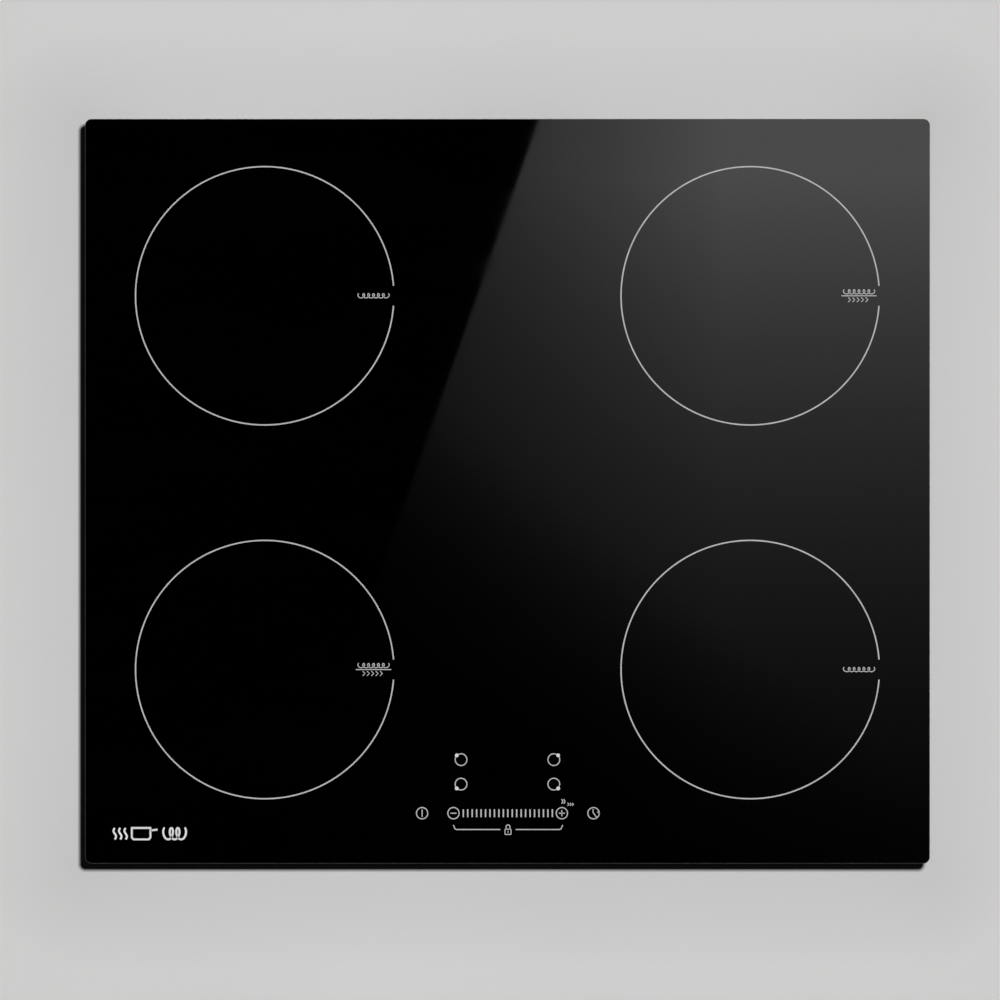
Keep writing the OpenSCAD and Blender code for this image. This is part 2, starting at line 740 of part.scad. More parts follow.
// Fixed part of each motor: bearing tube under the housing's roof, and the stator
module blower_motors() {
    stator_r = cup_r - cup_t - 1;
    low = wheel_z + 2 + cup_t + 1;
    color([0.55, 0.4, 0.25]) both_sides() translate([blower_x, blower_y, 0]) {
        tube(bearing_r, shaft_r + running, low, blower_top - blower_wall - low);
        tube(9, bearing_r - 0.5, blower_top - blower_wall - 1.5, 1.5);
        difference() {
            tube(stator_r, bearing_r - 0.5, low + 2, wheel_top - low - 5);
            for (k = [0 : 5]) rotate([0, 0, 60 * k]) translate([stator_r - 3.5, 0, low])
                cylinder(h = 20, r = 1.6);
        }
    }
}

module filter_holes() {
    for (x = [-1, 1] * (filter_w / 2 - 6), y = [6, filter_d - 6]) translate([x, filter_y + y, 0])
        children();
}

module filter_board() {
    color([0.1, 0.32, 0.18]) difference() {
        block(-filter_w / 2, filter_y, board_z, filter_w, filter_d, board_t);
        filter_holes() board_hole();
    }
}

module filter_parts() {
    color([0.9, 0.88, 0.8]) {
        block(-24, filter_y + 2, board_top, 26, 7, 9);
        translate([24, filter_y + 20, board_top + 3.2]) rotate([-90, 0, 0]) cylinder(h = 22, r = 3.2);
        block(-20, filter_y + 86, board_top, 40, 8, 10);
    }
}

// Terminal box in the rear wall, open to the rear on its left, with the cable entry on its right
module terminal_housing() {
    w = terminal_w;
    t = terminal_wall;
    depth = terminal_rear_y - terminal_y;
    lid_end = lid_x + lid_w + lid_gap;
    color([0.13, 0.13, 0.14]) difference() {
        block(-w / 2, terminal_y, terminal_z, w, depth, terminal_h);
        block(t - w / 2, terminal_y + t, terminal_z + t, w - 2 * t, depth - 2 * t, terminal_h - 2 * t);
        block(t - w / 2, terminal_rear_y - 2 * t, terminal_z + t, lid_end + w / 2 - t, 3 * t,
            terminal_h - 2 * t);
        translate([gland_x, terminal_rear_y - 2 * t, gland_z]) rotate([-90, 0, 0])
            cylinder(h = 3 * t, r = cable_r + 2.5);
        translate([-w / 2 - over, hinge_y, hinge_z]) rotate([0, 90, 0])
            cylinder(h = t + 2 * over, r = hinge_r + running);
        block(-22, terminal_y - over, mains_wire_z - 3, 44, t + 2 * over, 6);
    }
    // fixed lug that carries the lid's right hinge pin
    color([0.13, 0.13, 0.14]) difference() {
        block(lid_end, terminal_rear_y - 12, terminal_z + t, 2, 12 - t, 10);
        translate([lid_end - over, hinge_y, hinge_z]) rotate([0, 90, 0])
            cylinder(h = 2 + 2 * over, r = hinge_r + running);
    }
}

// Lid of the terminal box: it tips out to the rear about pins along its lower edge
module terminal_cover() {
    top = terminal_z + terminal_h - terminal_wall - lid_gap;
    color([0.17, 0.17, 0.18]) {
        block(lid_x, terminal_rear_y - lid_t, hinge_z, lid_w, lid_t, top - hinge_z);
        translate([lid_x, hinge_y, hinge_z]) rotate([0, 90, 0]) cylinder(h = lid_w, r = knuckle_r);
        translate([lid_x - terminal_wall - lid_gap + 0.2, hinge_y, hinge_z]) rotate([0, 90, 0])
            cylinder(h = lid_w + 2 * terminal_wall + 2 * lid_gap - 0.4, r = hinge_r);
        for (i = [1 : 3]) block(lid_x + lid_w * i / 4 - 0.75, terminal_rear_y - lid_t - 1.2,
            hinge_z + knuckle_r + 1, 1.5, 1.5, top - hinge_z - knuckle_r - 4);
    }
}

poles = 5;
pole_pitch = 11.5;
pole_z = terminal_z + terminal_wall + 8;
block_x = lid_x + 6;
block_y = terminal_y + 12;
block_d = 22;
block_z = terminal_z + terminal_wall;
block_h = 17;

module at_poles() {
    for (i = [0 : poles - 1])
        translate([block_x + (i + 0.5) * pole_pitch, block_y + block_d, pole_z]) children();
}

module terminal_block() {
    color([0.85, 0.84, 0.78]) difference() {
        block(block_x, block_y, block_z, poles * pole_pitch, block_d, block_h);
        at_poles() rotate([90, 0, 0]) translate([0, 0, -over]) cylinder(h = 8 + over, r = 3.9);
        at_poles() translate([0, -13, 0]) cylinder(h = block_h, r = 2);
        at_poles() rotate([90, 0, 0]) cylinder(h = 13, r = 1.8 + running);
    }
}

module terminal_screws() {
    color([0.8, 0.68, 0.35]) at_poles() translate([0, -8, 0]) rotate([-90, 0, 0])
        pan_screw(3.6, 2, 1.8, 4.5);
}

// Rubber gland for the mains cable
module cable_gland() {
    color([0.07, 0.07, 0.07]) translate([gland_x, terminal_rear_y, gland_z]) rotate([-90, 0, 0])
        difference() {
            union() {
                cylinder(h = gland_flange_t, r = cable_r + 5);
                translate([0, 0, -gland_l]) cylinder(h = gland_l + 0.1, r = cable_r + 2.4);
            }
            translate([0, 0, -gland_l - over]) cylinder(h = gland_l + gland_flange_t + 2 * over, r = cable_r);
        }
}

// Cable clamp: a saddle on the floor of the terminal box and a bridge held down by two screws
module cable_clamp() {
    y = terminal_rear_y - gland_l - 14;
    d = 9;
    ear_x = cable_r + 3.5;
    w = 2 * ear_x + 6;
    z = terminal_z + terminal_wall;
    split_z = gland_z - 3;
    bridge_h = cable_r + 5;
    color([0.2, 0.2, 0.21]) difference() {
        block(gland_x - w / 2, y, z, w, d, bridge_h + split_z - z);
        translate([gland_x, y - over, gland_z]) rotate([-90, 0, 0]) cylinder(h = d + 2 * over, r = cable_r);
        block(gland_x - w / 2 - over, y - over, split_z, w + 2 * over, d + 2 * over, 0.1);
        for (side = [-1, 1]) translate([gland_x + side * ear_x, y + d / 2, split_z - 4])
            cylinder(h = 30, r = 1.6);
    }
    color([0.75, 0.75, 0.74]) for (side = [-1, 1])
        translate([gland_x + side * ear_x, y + d / 2, split_z + bridge_h + running])
            pan_screw(2.6, 1.5, 1.5, bridge_h + 3);
}

module touch_board() {
    color([0.1, 0.32, 0.18]) block(-touch_w / 2, touch_y - touch_d / 2, touch_z, touch_w, touch_d, touch_t);
}

// Moulded holder that carries the touch board just under the glass
module touch_holder() {
    gap = 0.3;
    w = touch_w + 2 * (touch_wall + gap);
    d = touch_d + 2 * (touch_wall + gap);
    low = touch_z - touch_wall;
    window_w = touch_w - 36;
    window_d = touch_d - 20;
    color([0.8, 0.8, 0.78]) translate([0, touch_y, 0]) {
        difference() {
            block(-w / 2, -d / 2, low, w, d, glass_z - low - 0.6);
            block(touch_wall - w / 2, touch_wall - d / 2, touch_z, w - 2 * touch_wall,
                d - 2 * touch_wall, glass_z - touch_z);
            block(-window_w / 2, -window_d / 2, low - over, window_w, window_d, touch_wall + 2 * over);
        }
        for (side = [-1, 1], y = [-1, 1] * (touch_d / 2 - 5))
            translate([side * (touch_w / 2 - 22), y, floor_z]) cylinder(h = low - floor_z, r = 4);
    }
}

// Soft conductive plugs that carry each touch key up to the glass, and the slider's strip
key_places = [
    for (x = [-power_key_x, -step_key_x, step_key_x, power_key_x]) [x, key_row_y],
    [0, lock_key_y],
    for (x = [-1, 1] * zone_key_x, y = zone_key_rows) [x, y]];

module key_contacts() {
    z = touch_z + touch_t;
    h = glass_z - z - 0.1;
    color([0.1, 0.1, 0.1]) {
        for (p = key_places) translate([p[0], p[1], z]) cylinder(h = h, r = key_r);
        block(-slider_w / 2, key_row_y - slider_d / 2, z, slider_w, slider_d, h);
    }
}

// Red figure displays, one for each zone
module display_modules() {
    w = 12.4;
    d = 10;
    h = 7.5;
    color([0.3, 0.06, 0.06]) for (x = [-17, 17], y = zone_key_rows)
        block(x - w / 2, y - d / 2, touch_z + touch_t, w, d, h);
}

// Flat ribbon from the touch board down to the floor and back to the filter board
module ribbon_cable() {
    t = 0.9;
    top_y = touch_y + 8;
    turn_y = touch_y + touch_d / 2 + 6;
    end_y = filter_y - 3;
    shelf = touch_z - touch_wall - 3;
    low = floor_z + 1;
    color([0.6, 0.62, 0.66]) translate([-10, 0, 0]) rotate([90, 0, 90]) linear_extrude(20) {
        translate([top_y, shelf]) square([t, touch_z - shelf]);
        translate([top_y, shelf]) square([turn_y - top_y, t]);
        translate([turn_y - t, low]) square([t, shelf + t - low]);
        translate([turn_y - t, low]) square([end_y - turn_y + t, t]);
        translate([end_y - t, low]) square([t, board_top + 4 - low]);
        translate([end_y - t, board_top + 4]) square([filter_y + 2 - end_y + t, t]);
    }
}

// Short wires from the terminal block through the box's inner wall to the filter board
mains_wire_z = terminal_z + terminal_h - 5.5;
function mains_path(i) = let (
        x = block_x + (i + 0.5) * pole_pitch,
        end_x = (i - (poles - 1) / 2) * 8,
        y = block_y + block_d - 13,
        z = mains_wire_z)
    [[x, y, block_z + block_h], [x, y, z], [end_x, terminal_y + 5, z], [end_x, terminal_y - 5, z],
     [end_x, filter_y + 90, board_top + 14], [end_x, filter_y + 90, board_top + 10]];

module mains_wires() {
    color([0.35, 0.2, 0.1]) for (i = [0 : poles - 1]) wire(eased(mains_path(i), 4), 1.5, 6, [0.2, 0.1, 1]);
}

// Clamp arm that swings out under the worktop, with a raised tooth at its tip
module clamp_arm() {
    color([0.7, 0.7, 0.7]) translate([0, 0, arm_z]) difference() {
        union() {
            linear_extrude(clamp_arm_t) {
                circle(r = clamp_arm_w / 2);
                translate([0, -clamp_arm_w / 2]) square([clamp_reach, clamp_arm_w]);
            }
            block(clamp_reach - 9, -clamp_arm_w / 2, clamp_arm_t - 0.1, 9, clamp_arm_w, tooth_h + 0.1);
        }
        translate([0, 0, -over]) cylinder(h = clamp_arm_t + 2 * over, r = clamp_screw_r + 0.08);
        block(clamp_reach - 6, -clamp_arm_w / 2 - over, clamp_arm_t + 1, 3, clamp_arm_w + 2 * over, tooth_h);
    }
}
module clamp_arm_rear_left() at_corner(-1, 1) clamp_arm();
module clamp_arm_rear_right() at_corner(1, 1) clamp_arm();
module clamp_arm_front_left() at_corner(-1, -1) clamp_arm();
module clamp_arm_front_right() at_corner(1, -1) clamp_arm();

// Clamp screw with a hexagon socket below, a washer under the arm and a collar above it
module clamp_screw() {
    color([0.78, 0.78, 0.76]) {
        difference() {
            union() {
                translate([0, 0, arm_z - arm_gap - 1 - clamp_head_h])
                    cylinder(h = clamp_head_h + 0.1, r = clamp_head_r);
                translate([0, 0, arm_z - arm_gap - 1]) cylinder(h = 1, r = clamp_head_r + 1.5);
            }
            translate([0, 0, arm_z - arm_gap - 2 - clamp_head_h]) cylinder(h = 3.2, r = 2.3, $fn = 6);
        }
        translate([0, 0, arm_z - arm_gap - 0.1])
            cylinder(h = shelf_z + clamp_nut_h + 5 - arm_z, r = clamp_screw_r);
        translate([0, 0, arm_z + clamp_arm_t + arm_gap]) cylinder(h = 1, r = clamp_head_r);
    }
}
module clamp_screw_rear_left() at_corner(-1, 1) clamp_screw();
module clamp_screw_rear_right() at_corner(1, 1) clamp_screw();
module clamp_screw_front_left() at_corner(-1, -1) clamp_screw();
module clamp_screw_front_right() at_corner(1, -1) clamp_screw();

module clamp_nuts() {
    color([0.72, 0.72, 0.7]) at_all_corners()
        tube(clamp_head_r, clamp_screw_r + running, shelf_z + sheet_t, clamp_nut_h);
}

glass_top();
glass_adhesive();
rim_gasket();
glass_frame();
base_pan();
frame_screws();
coil_tray_left();
coil_tray_right();
tray_posts();
tray_screws();
coil_carrier_rear_left();
coil_carrier_rear_right();
coil_carrier_front_left();
coil_carrier_front_right();
coil_winding_rear_left();
coil_winding_rear_right();
coil_winding_front_left();
coil_winding_front_right();
ferrite_bars();
mica_discs();
heat_sensors();
coil_springs();
coil_leads();
power_board_left();
power_board_right();
heatsinks();
power_devices();
film_capacitors();
board_chokes();
board_parts();
board_terminals();
board_standoffs();
blower_housing_left();
blower_housing_right();
blower_rotor_left();
blower_rotor_right();
blower_motors();
filter_board();
filter_parts();
terminal_housing();
terminal_cover();
terminal_block();
terminal_screws();
cable_gland();
cable_clamp();
touch_board();
touch_holder();
key_contacts();
display_modules();
ribbon_cable();
mains_wires();
clamp_arm_rear_left();
clamp_arm_rear_right();
clamp_arm_front_left();
clamp_arm_front_right();
clamp_screw_rear_left();
clamp_screw_rear_right();
clamp_screw_front_left();
clamp_screw_front_right();
clamp_nuts();
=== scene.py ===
import json
import math

import bpy
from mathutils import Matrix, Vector


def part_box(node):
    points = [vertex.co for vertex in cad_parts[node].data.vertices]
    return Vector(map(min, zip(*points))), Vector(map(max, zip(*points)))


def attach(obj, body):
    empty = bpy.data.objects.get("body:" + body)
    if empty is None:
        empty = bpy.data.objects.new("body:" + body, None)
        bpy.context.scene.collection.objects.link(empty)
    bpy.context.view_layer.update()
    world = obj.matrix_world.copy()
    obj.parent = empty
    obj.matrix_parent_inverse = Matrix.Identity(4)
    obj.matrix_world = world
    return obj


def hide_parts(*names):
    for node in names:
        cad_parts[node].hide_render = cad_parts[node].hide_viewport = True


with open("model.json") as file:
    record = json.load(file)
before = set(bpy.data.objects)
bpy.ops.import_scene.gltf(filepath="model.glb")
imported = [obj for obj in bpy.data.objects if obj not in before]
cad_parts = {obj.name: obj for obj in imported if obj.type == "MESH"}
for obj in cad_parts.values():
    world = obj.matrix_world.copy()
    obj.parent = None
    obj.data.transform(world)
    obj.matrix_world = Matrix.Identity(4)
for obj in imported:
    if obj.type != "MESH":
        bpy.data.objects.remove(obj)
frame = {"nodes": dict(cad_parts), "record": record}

mm = 0.001
scene = bpy.context.scene
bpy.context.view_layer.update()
glassLow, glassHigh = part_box("glass_top")
glassTop = glassHigh.z
print("frame loaded:", len(frame["nodes"]), "nodes")


cameraLook = {
    "lens": 120.0,
    "sensor": 36.0,
    "widthSeen": 698.3 * mm,   # across the cooking surface
    "aimX": -5.2 * mm,
    "aimY": -6.1 * mm,
}


def makeCamera(look):
    data = bpy.data.cameras.new("camera")
    data.lens = look["lens"]
    data.sensor_width = look["sensor"]
    camera = bpy.data.objects.new("camera", data)
    rise = look["widthSeen"] * look["lens"] / look["sensor"]
    camera.location = (look["aimX"], look["aimY"], glassTop + rise)
    scene.collection.objects.link(camera)
    scene.camera = camera
    return camera


camera = makeCamera(cameraLook)


def put(tree, kind, sockets=None, **settings):
    made = tree.nodes.new(kind)
    for label, value in settings.items():
        setattr(made, label, value)
    for key, value in (sockets or {}).items():
        if isinstance(value, bpy.types.NodeSocket):
            tree.links.new(value, made.inputs[key])
        else:
            made.inputs[key].default_value = value
    return made


def calc(tree, operation, *values, clamp=False):
    made = put(tree, "ShaderNodeMath", dict(enumerate(values)), operation=operation, use_clamp=clamp)
    return made.outputs[0]


def spread(tree, value, fromLow, fromHigh, toLow=0.0, toHigh=1.0):
    made = put(tree, "ShaderNodeMapRange", {
        "Value": value, "From Min": fromLow, "From Max": fromHigh, "To Min": toLow, "To Max": toHigh})
    return made.outputs["Result"]


def mixTones(tree, factor, first, second):
    made = put(tree, "ShaderNodeMix", {0: factor, 6: first, 7: second}, data_type="RGBA")
    return made.outputs[2]


def noiseAt(tree, place, scale, detail=3.0, rough=0.5):
    made = put(tree, "ShaderNodeTexNoise", {
        "Vector": place, "Scale": scale, "Detail": detail, "Roughness": rough})
    return made.outputs["Fac"]


def objectPlace(tree):
    return put(tree, "ShaderNodeTexCoord").outputs["Object"]


def stretched(tree, place, factors):
    made = put(tree, "ShaderNodeVectorMath", {0: place, 1: factors}, operation="MULTIPLY")
    return made.outputs[0]


def effectGroup(name, inputs, outputs, wire):
    group = bpy.data.node_groups.new(name, "ShaderNodeTree")
    for label, kind, value in inputs:
        socket = group.interface.new_socket(label, in_out="INPUT", socket_type="NodeSocket" + kind)
        socket.default_value = value
    for label, kind in outputs:
        group.interface.new_socket(label, in_out="OUTPUT", socket_type="NodeSocket" + kind)
    enter = put(group, "NodeGroupInput").outputs
    leave = put(group, "NodeGroupOutput")
    for label, socket in wire(group, enter).items():
        group.links.new(socket, leave.inputs[label])
    return group


def useEffect(tree, group, values):
    return put(tree, "ShaderNodeGroup", values, node_tree=group).outputs


def wireCloud(tree, enter):
    place = objectPlace(tree)
    broad = spread(tree, noiseAt(tree, place, enter["Scale"], 4.0), 0.32, 0.68)
    fine = noiseAt(tree, place, calc(tree, "MULTIPLY", enter["Scale"], 7.3), 2.0)
    swing = calc(tree, "MULTIPLY", calc(tree, "SUBTRACT", fine, 0.5), enter["Spread"])
    veil = calc(tree, "MULTIPLY", broad, enter["Amount"])
    return {
        "Color": mixTones(tree, veil, enter["Tone"], enter["Shade"]),
        "Roughness": calc(tree, "ADD", enter["Roughness"], swing, clamp=True),
    }


cloudyTone = effectGroup("cloudyTone", [
    ("Tone", "Color", (0.5, 0.5, 0.5, 1.0)), ("Shade", "Color", (0.4, 0.4, 0.4, 1.0)),
    ("Scale", "Float", 20.0), ("Amount", "Float", 1.0),
    ("Roughness", "Float", 0.5), ("Spread", "Float", 0.2),
], [("Color", "Color"), ("Roughness", "Float")], wireCloud)


def wireSpangle(tree, enter):
    place = objectPlace(tree)
    wander = put(tree, "ShaderNodeTexNoise", {"Vector": place, "Scale": 90.0, "Detail": 2.0})
    bent = put(tree, "ShaderNodeVectorMath", {
        0: put(tree, "ShaderNodeVectorMath", {0: wander.outputs["Color"], 1: (0.5, 0.5, 0.5)},
               operation="SUBTRACT").outputs[0],
        "Scale": 0.006}, operation="SCALE").outputs[0]
    moved = put(tree, "ShaderNodeVectorMath", {0: place, 1: bent}, operation="ADD").outputs[0]
    cell = put(tree, "ShaderNodeTexVoronoi", {"Vector": moved, "Scale": enter["Scale"]})
    shade = put(tree, "ShaderNodeSeparateColor", {0: cell.outputs["Color"]}).outputs[0]
    feather = noiseAt(tree, stretched(tree, moved, (1.0, 3.0, 1.0)),
                      calc(tree, "MULTIPLY", enter["Scale"], 6.0), 2.0)
    mixed = calc(tree, "ADD", calc(tree, "MULTIPLY", shade, 0.7), calc(tree, "MULTIPLY", feather, 0.3))
    return {"Facet": mixed, "Height": calc(tree, "MULTIPLY", feather, shade)}


zincSpangle = effectGroup("zincSpangle", [("Scale", "Float", 110.0)],
                          [("Facet", "Float"), ("Height", "Float")], wireSpangle)


def wireGrain(tree, enter):
    place = stretched(tree, objectPlace(tree), enter["Stretch"])
    coarse = noiseAt(tree, place, enter["Scale"], 3.0, 0.6)
    fine = noiseAt(tree, place, calc(tree, "MULTIPLY", enter["Scale"], 4.1), 2.0)
    lines = calc(tree, "ADD", calc(tree, "MULTIPLY", coarse, 0.6), calc(tree, "MULTIPLY", fine, 0.4))
    return {"Streak": lines}


rolledGrain = effectGroup("rolledGrain", [
    ("Scale", "Float", 400.0), ("Stretch", "Vector", (0.04, 1.0, 1.0)),
], [("Streak", "Float")], wireGrain)


def wireEdge(tree, enter):
    eased = put(tree, "ShaderNodeBevel", {"Radius": enter["Radius"]}, samples=4).outputs[0]
    flat = put(tree, "ShaderNodeNewGeometry").outputs["Normal"]
    along = put(tree, "ShaderNodeVectorMath", {0: eased, 1: flat}, operation="DOT_PRODUCT").outputs["Value"]
    broken = noiseAt(tree, objectPlace(tree), 260.0, 3.0)
    bare = spread(tree, calc(tree, "SUBTRACT", 1.0, along), 0.02, 0.18)
    return {"Normal": eased, "Wear": calc(tree, "MULTIPLY", bare, spread(tree, broken, 0.4, 0.6), clamp=True)}


easedEdge = effectGroup("easedEdge", [("Radius", "Float", 0.4 * mm)],
                        [("Normal", "Vector"), ("Wear", "Float")], wireEdge)


def wireMould(tree, enter):
    place = objectPlace(tree)
    pits = put(tree, "ShaderNodeTexVoronoi", {"Vector": place, "Scale": enter["Scale"]}).outputs["Distance"]
    skin = noiseAt(tree, place, calc(tree, "MULTIPLY", enter["Scale"], 0.45), 3.0)
    return {"Height": calc(tree, "ADD", calc(tree, "MULTIPLY", pits, 0.5), calc(tree, "MULTIPLY", skin, 0.5))}


mouldGrain = effectGroup("mouldGrain", [("Scale", "Float", 2200.0)], [("Height", "Float")], wireMould)


def wireStrands(tree, enter):
    turn = calc(tree, "MULTIPLY", calc(tree, "DIVIDE", enter["Along"], enter["Lay"]), 2 * math.pi)
    phase = calc(tree, "MULTIPLY", calc(tree, "MULTIPLY", enter["Around"], enter["Strands"]), 2 * math.pi)
    wave = calc(tree, "SINE", calc(tree, "ADD", turn, phase))
    lift = spread(tree, wave, -1.0, 1.0)
    # the second output marks the grooves between the strands, where the wire's colour gets painted shade
    return {"Height": calc(tree, "POWER", lift, 0.5), "GrooveShade": calc(tree, "SUBTRACT", 1.0, lift)}


twistedStrands = effectGroup("twistedStrands", [
    ("Along", "Float", 0.0), ("Around", "Float", 0.0),
    ("Strands", "Float", 7.0), ("Lay", "Float", 3.0 * mm),
], [("Height", "Float"), ("GrooveShade", "Float")], wireStrands)


def wireSmears(tree, enter):
    place = objectPlace(tree)
    wipe = noiseAt(tree, stretched(tree, place, (1.0, 4.5, 1.0)), enter["Scale"], 3.0, 0.55)
    film = spread(tree, wipe, 0.45, 0.75)
    return {"Film": calc(tree, "MULTIPLY", film, enter["Amount"])}


wipedFilm = effectGroup("wipedFilm", [("Scale", "Float", 9.0), ("Amount", "Float", 1.0)],
                        [("Film", "Float")], wireSmears)
print("effects built")


def newFinish(name, **fixed):
    made = bpy.data.materials.new(name)
    made.use_nodes = True
    tree = made.node_tree
    tree.nodes.clear()
    shader = put(tree, "ShaderNodeBsdfPrincipled", fixed)
    out = put(tree, "ShaderNodeOutputMaterial")
    tree.links.new(shader.outputs[0], out.inputs["Surface"])
    return made, tree, shader


def tint(value):
    return (value[0], value[1], value[2], 1.0)


def bumpFrom(tree, height, shader, strength, depth, normal=None):
    sockets = {"Height": height, "Strength": strength, "Distance": depth}
    if normal is not None:
        sockets["Normal"] = normal
    made = put(tree, "ShaderNodeBump", sockets)
    tree.links.new(made.outputs[0], shader.inputs["Normal"])


def clouded(tree, look, scale, swing):
    return useEffect(tree, cloudyTone, {
        "Tone": tint(look["tone"]), "Shade": tint(look["shade"]), "Scale": scale,
        "Roughness": look["rough"], "Spread": swing})


def coat(tree, shader, colour, rough):
    tree.links.new(colour, shader.inputs["Base Color"])
    tree.links.new(rough, shader.inputs["Roughness"])


def mouldedPlastic(name, look):
    made, tree, shader = newFinish(name, **{"IOR": look.get("ior", 1.5)})
    cloud = clouded(tree, look, look.get("cloud", 35.0), 0.16)
    edge = useEffect(tree, easedEdge, {"Radius": look.get("ease", 0.35 * mm)})
    rubbed = mixTones(tree, calc(tree, "MULTIPLY", edge["Wear"], 0.35), cloud["Color"], tint(look["rub"]))
    coat(tree, shader, rubbed, cloud["Roughness"])
    grain = useEffect(tree, mouldGrain, {"Scale": look.get("grain", 2200.0)})
    bumpFrom(tree, grain["Height"], shader, look.get("bump", 0.25), 0.05 * mm, edge["Normal"])
    return made


def rolledMetal(name, look):
    made, tree, shader = newFinish(name, **{"Metallic": 1.0})
    cloud = clouded(tree, look, look.get("cloud", 14.0), 0.14)
    grain = useEffect(tree, rolledGrain, {
        "Scale": look.get("grain", 420.0), "Stretch": look.get("stretch", (0.05, 1.0, 1.0))})
    edge = useEffect(tree, easedEdge, {"Radius": look.get("ease", 0.3 * mm)})
    bright = mixTones(tree, calc(tree, "MULTIPLY", edge["Wear"], 0.5), cloud["Color"], tint(look["rub"]))
    veil = spread(tree, grain["Streak"], 0.35, 0.65, 0.0, 0.22)
    streaked = mixTones(tree, veil, bright, tint(look["shade"]))
    tree.links.new(streaked, shader.inputs["Base Color"])
    rough = calc(tree, "ADD", cloud["Roughness"], spread(tree, grain["Streak"], 0.3, 0.7, -0.05, 0.07))
    tree.links.new(rough, shader.inputs["Roughness"])
    bumpFrom(tree, grain["Streak"], shader, look.get("bump", 0.2), 0.03 * mm, edge["Normal"])
    return made


def galvanisedSheet(name, look):
    made, tree, shader = newFinish(name, **{"Metallic": 1.0})
    cloud = clouded(tree, look, 9.0, 0.1)
    zinc = useEffect(tree, zincSpangle, {"Scale": look["spangles"]})
    edge = useEffect(tree, easedEdge, {"Radius": 0.5 * mm})
    veil = spread(tree, zinc["Facet"], 0.2, 0.8, 0.0, 0.45)
    facets = mixTones(tree, veil, cloud["Color"], tint(look["facet"]))
    bright = mixTones(tree, calc(tree, "MULTIPLY", edge["Wear"], 0.4), facets, tint(look["rub"]))
    tree.links.new(bright, shader.inputs["Base Color"])
    rough = calc(tree, "ADD", cloud["Roughness"], spread(tree, zinc["Facet"], 0.2, 0.8, -0.025, 0.025))
    tree.links.new(rough, shader.inputs["Roughness"])
    bumpFrom(tree, zinc["Height"], shader, 0.06, 0.06 * mm, edge["Normal"])
    return made


def softRubber(name, look):
    made, tree, shader = newFinish(name, **{"IOR": 1.45})
    cloud = clouded(tree, look, look.get("cloud", 60.0), 0.12)
    cells = put(tree, "ShaderNodeTexVoronoi", {
        "Vector": objectPlace(tree), "Scale": look.get("cells", 1500.0)}, feature="SMOOTH_F1")
    # painted shade: a darker pore tone is laid over the cell pattern, darkest between the cell centres,
    # standing in for the shade in the pores
    shadowed = mixTones(tree, spread(tree, cells.outputs["Distance"], 0.1, 0.6, 0.0, look.get("poreShadeAmount", 0.4)),
                        cloud["Color"], tint(look["poreShade"]))
    coat(tree, shader, shadowed, cloud["Roughness"])
    bumpFrom(tree, cells.outputs["Distance"], shader, look.get("bump", 0.4), 0.08 * mm)
    return made


def speckledMineral(name, look):
    made, tree, shader = newFinish(name, **{"IOR": look.get("ior", 1.55)})
    cloud = clouded(tree, look, look.get("cloud", 80.0), 0.2)
    place = stretched(tree, objectPlace(tree), look.get("stretch", (1.0, 1.0, 1.0)))
    grit = put(tree, "ShaderNodeTexVoronoi", {"Vector": place, "Scale": look.get("grit", 900.0)})
    lone = put(tree, "ShaderNodeSeparateColor", {0: grit.outputs["Color"]}).outputs[1]
    flecked = mixTones(tree, spread(tree, lone, 0.75, 0.95, 0.0, look.get("flecks", 0.7)),
                       cloud["Color"], tint(look["fleck"]))
    coat(tree, shader, flecked, cloud["Roughness"])
    bumpFrom(tree, lone, shader, look.get("bump", 0.15), 0.03 * mm)
    return made


def circuitBoard(name, look):
    made, tree, shader = newFinish(name, **{"IOR": 1.5, "Coat Weight": 0.5, "Coat Roughness": 0.18})
    place = objectPlace(tree)
    lanes = put(tree, "ShaderNodeTexBrick", {
        "Vector": place, "Scale": look["lanes"], "Mortar Size": 0.035, "Mortar Smooth": 0.1,
        "Brick Width": 0.9, "Row Height": 0.22})
    copper = calc(tree, "SUBTRACT", 1.0, lanes.outputs["Fac"])
    cloud = clouded(tree, look, 30.0, 0.12)
    tracks = mixTones(tree, calc(tree, "MULTIPLY", copper, 0.55), tint(look["track"]), cloud["Color"])
    vias = put(tree, "ShaderNodeTexVoronoi", {
        "Vector": place, "Scale": look["vias"], "Randomness": 0.55}, distance="EUCLIDEAN")
    ring = calc(tree, "LESS_THAN", vias.outputs["Distance"], 0.13)
    # painted shade: the middle of each via is painted near black for the shade inside its hole
    hole = calc(tree, "LESS_THAN", vias.outputs["Distance"], 0.06)
    padded = mixTones(tree, ring, tracks, tint(look["tin"]))
    coat(tree, shader, mixTones(tree, hole, padded, tint(look["hole"])), cloud["Roughness"])
    bumpFrom(tree, calc(tree, "SUBTRACT", ring, copper), shader, 0.3, 0.05 * mm)
    return made


def strandedWire(name, look):
    made, tree, shader = newFinish(name, **{"Metallic": look.get("metal", 1.0)})
    along = put(tree, "ShaderNodeAttribute", attribute_name="along").outputs["Fac"]
    around = put(tree, "ShaderNodeAttribute", attribute_name="around").outputs["Fac"]
    twist = useEffect(tree, twistedStrands, {
        "Along": along, "Around": around, "Strands": look["strands"], "Lay": look["lay"]})
    cloud = clouded(tree, look, 70.0, 0.15)
    # painted shade: the colour is darkened in the grooves between the strands, where shade falls
    depth = calc(tree, "MULTIPLY", twist["GrooveShade"], 0.7)
    grooveShaded = mixTones(tree, depth, cloud["Color"], tint(look["shadeInGrooves"]))
    coat(tree, shader, grooveShaded, cloud["Roughness"])
    bumpFrom(tree, twist["Height"], shader, 0.6, 0.12 * mm)
    return made


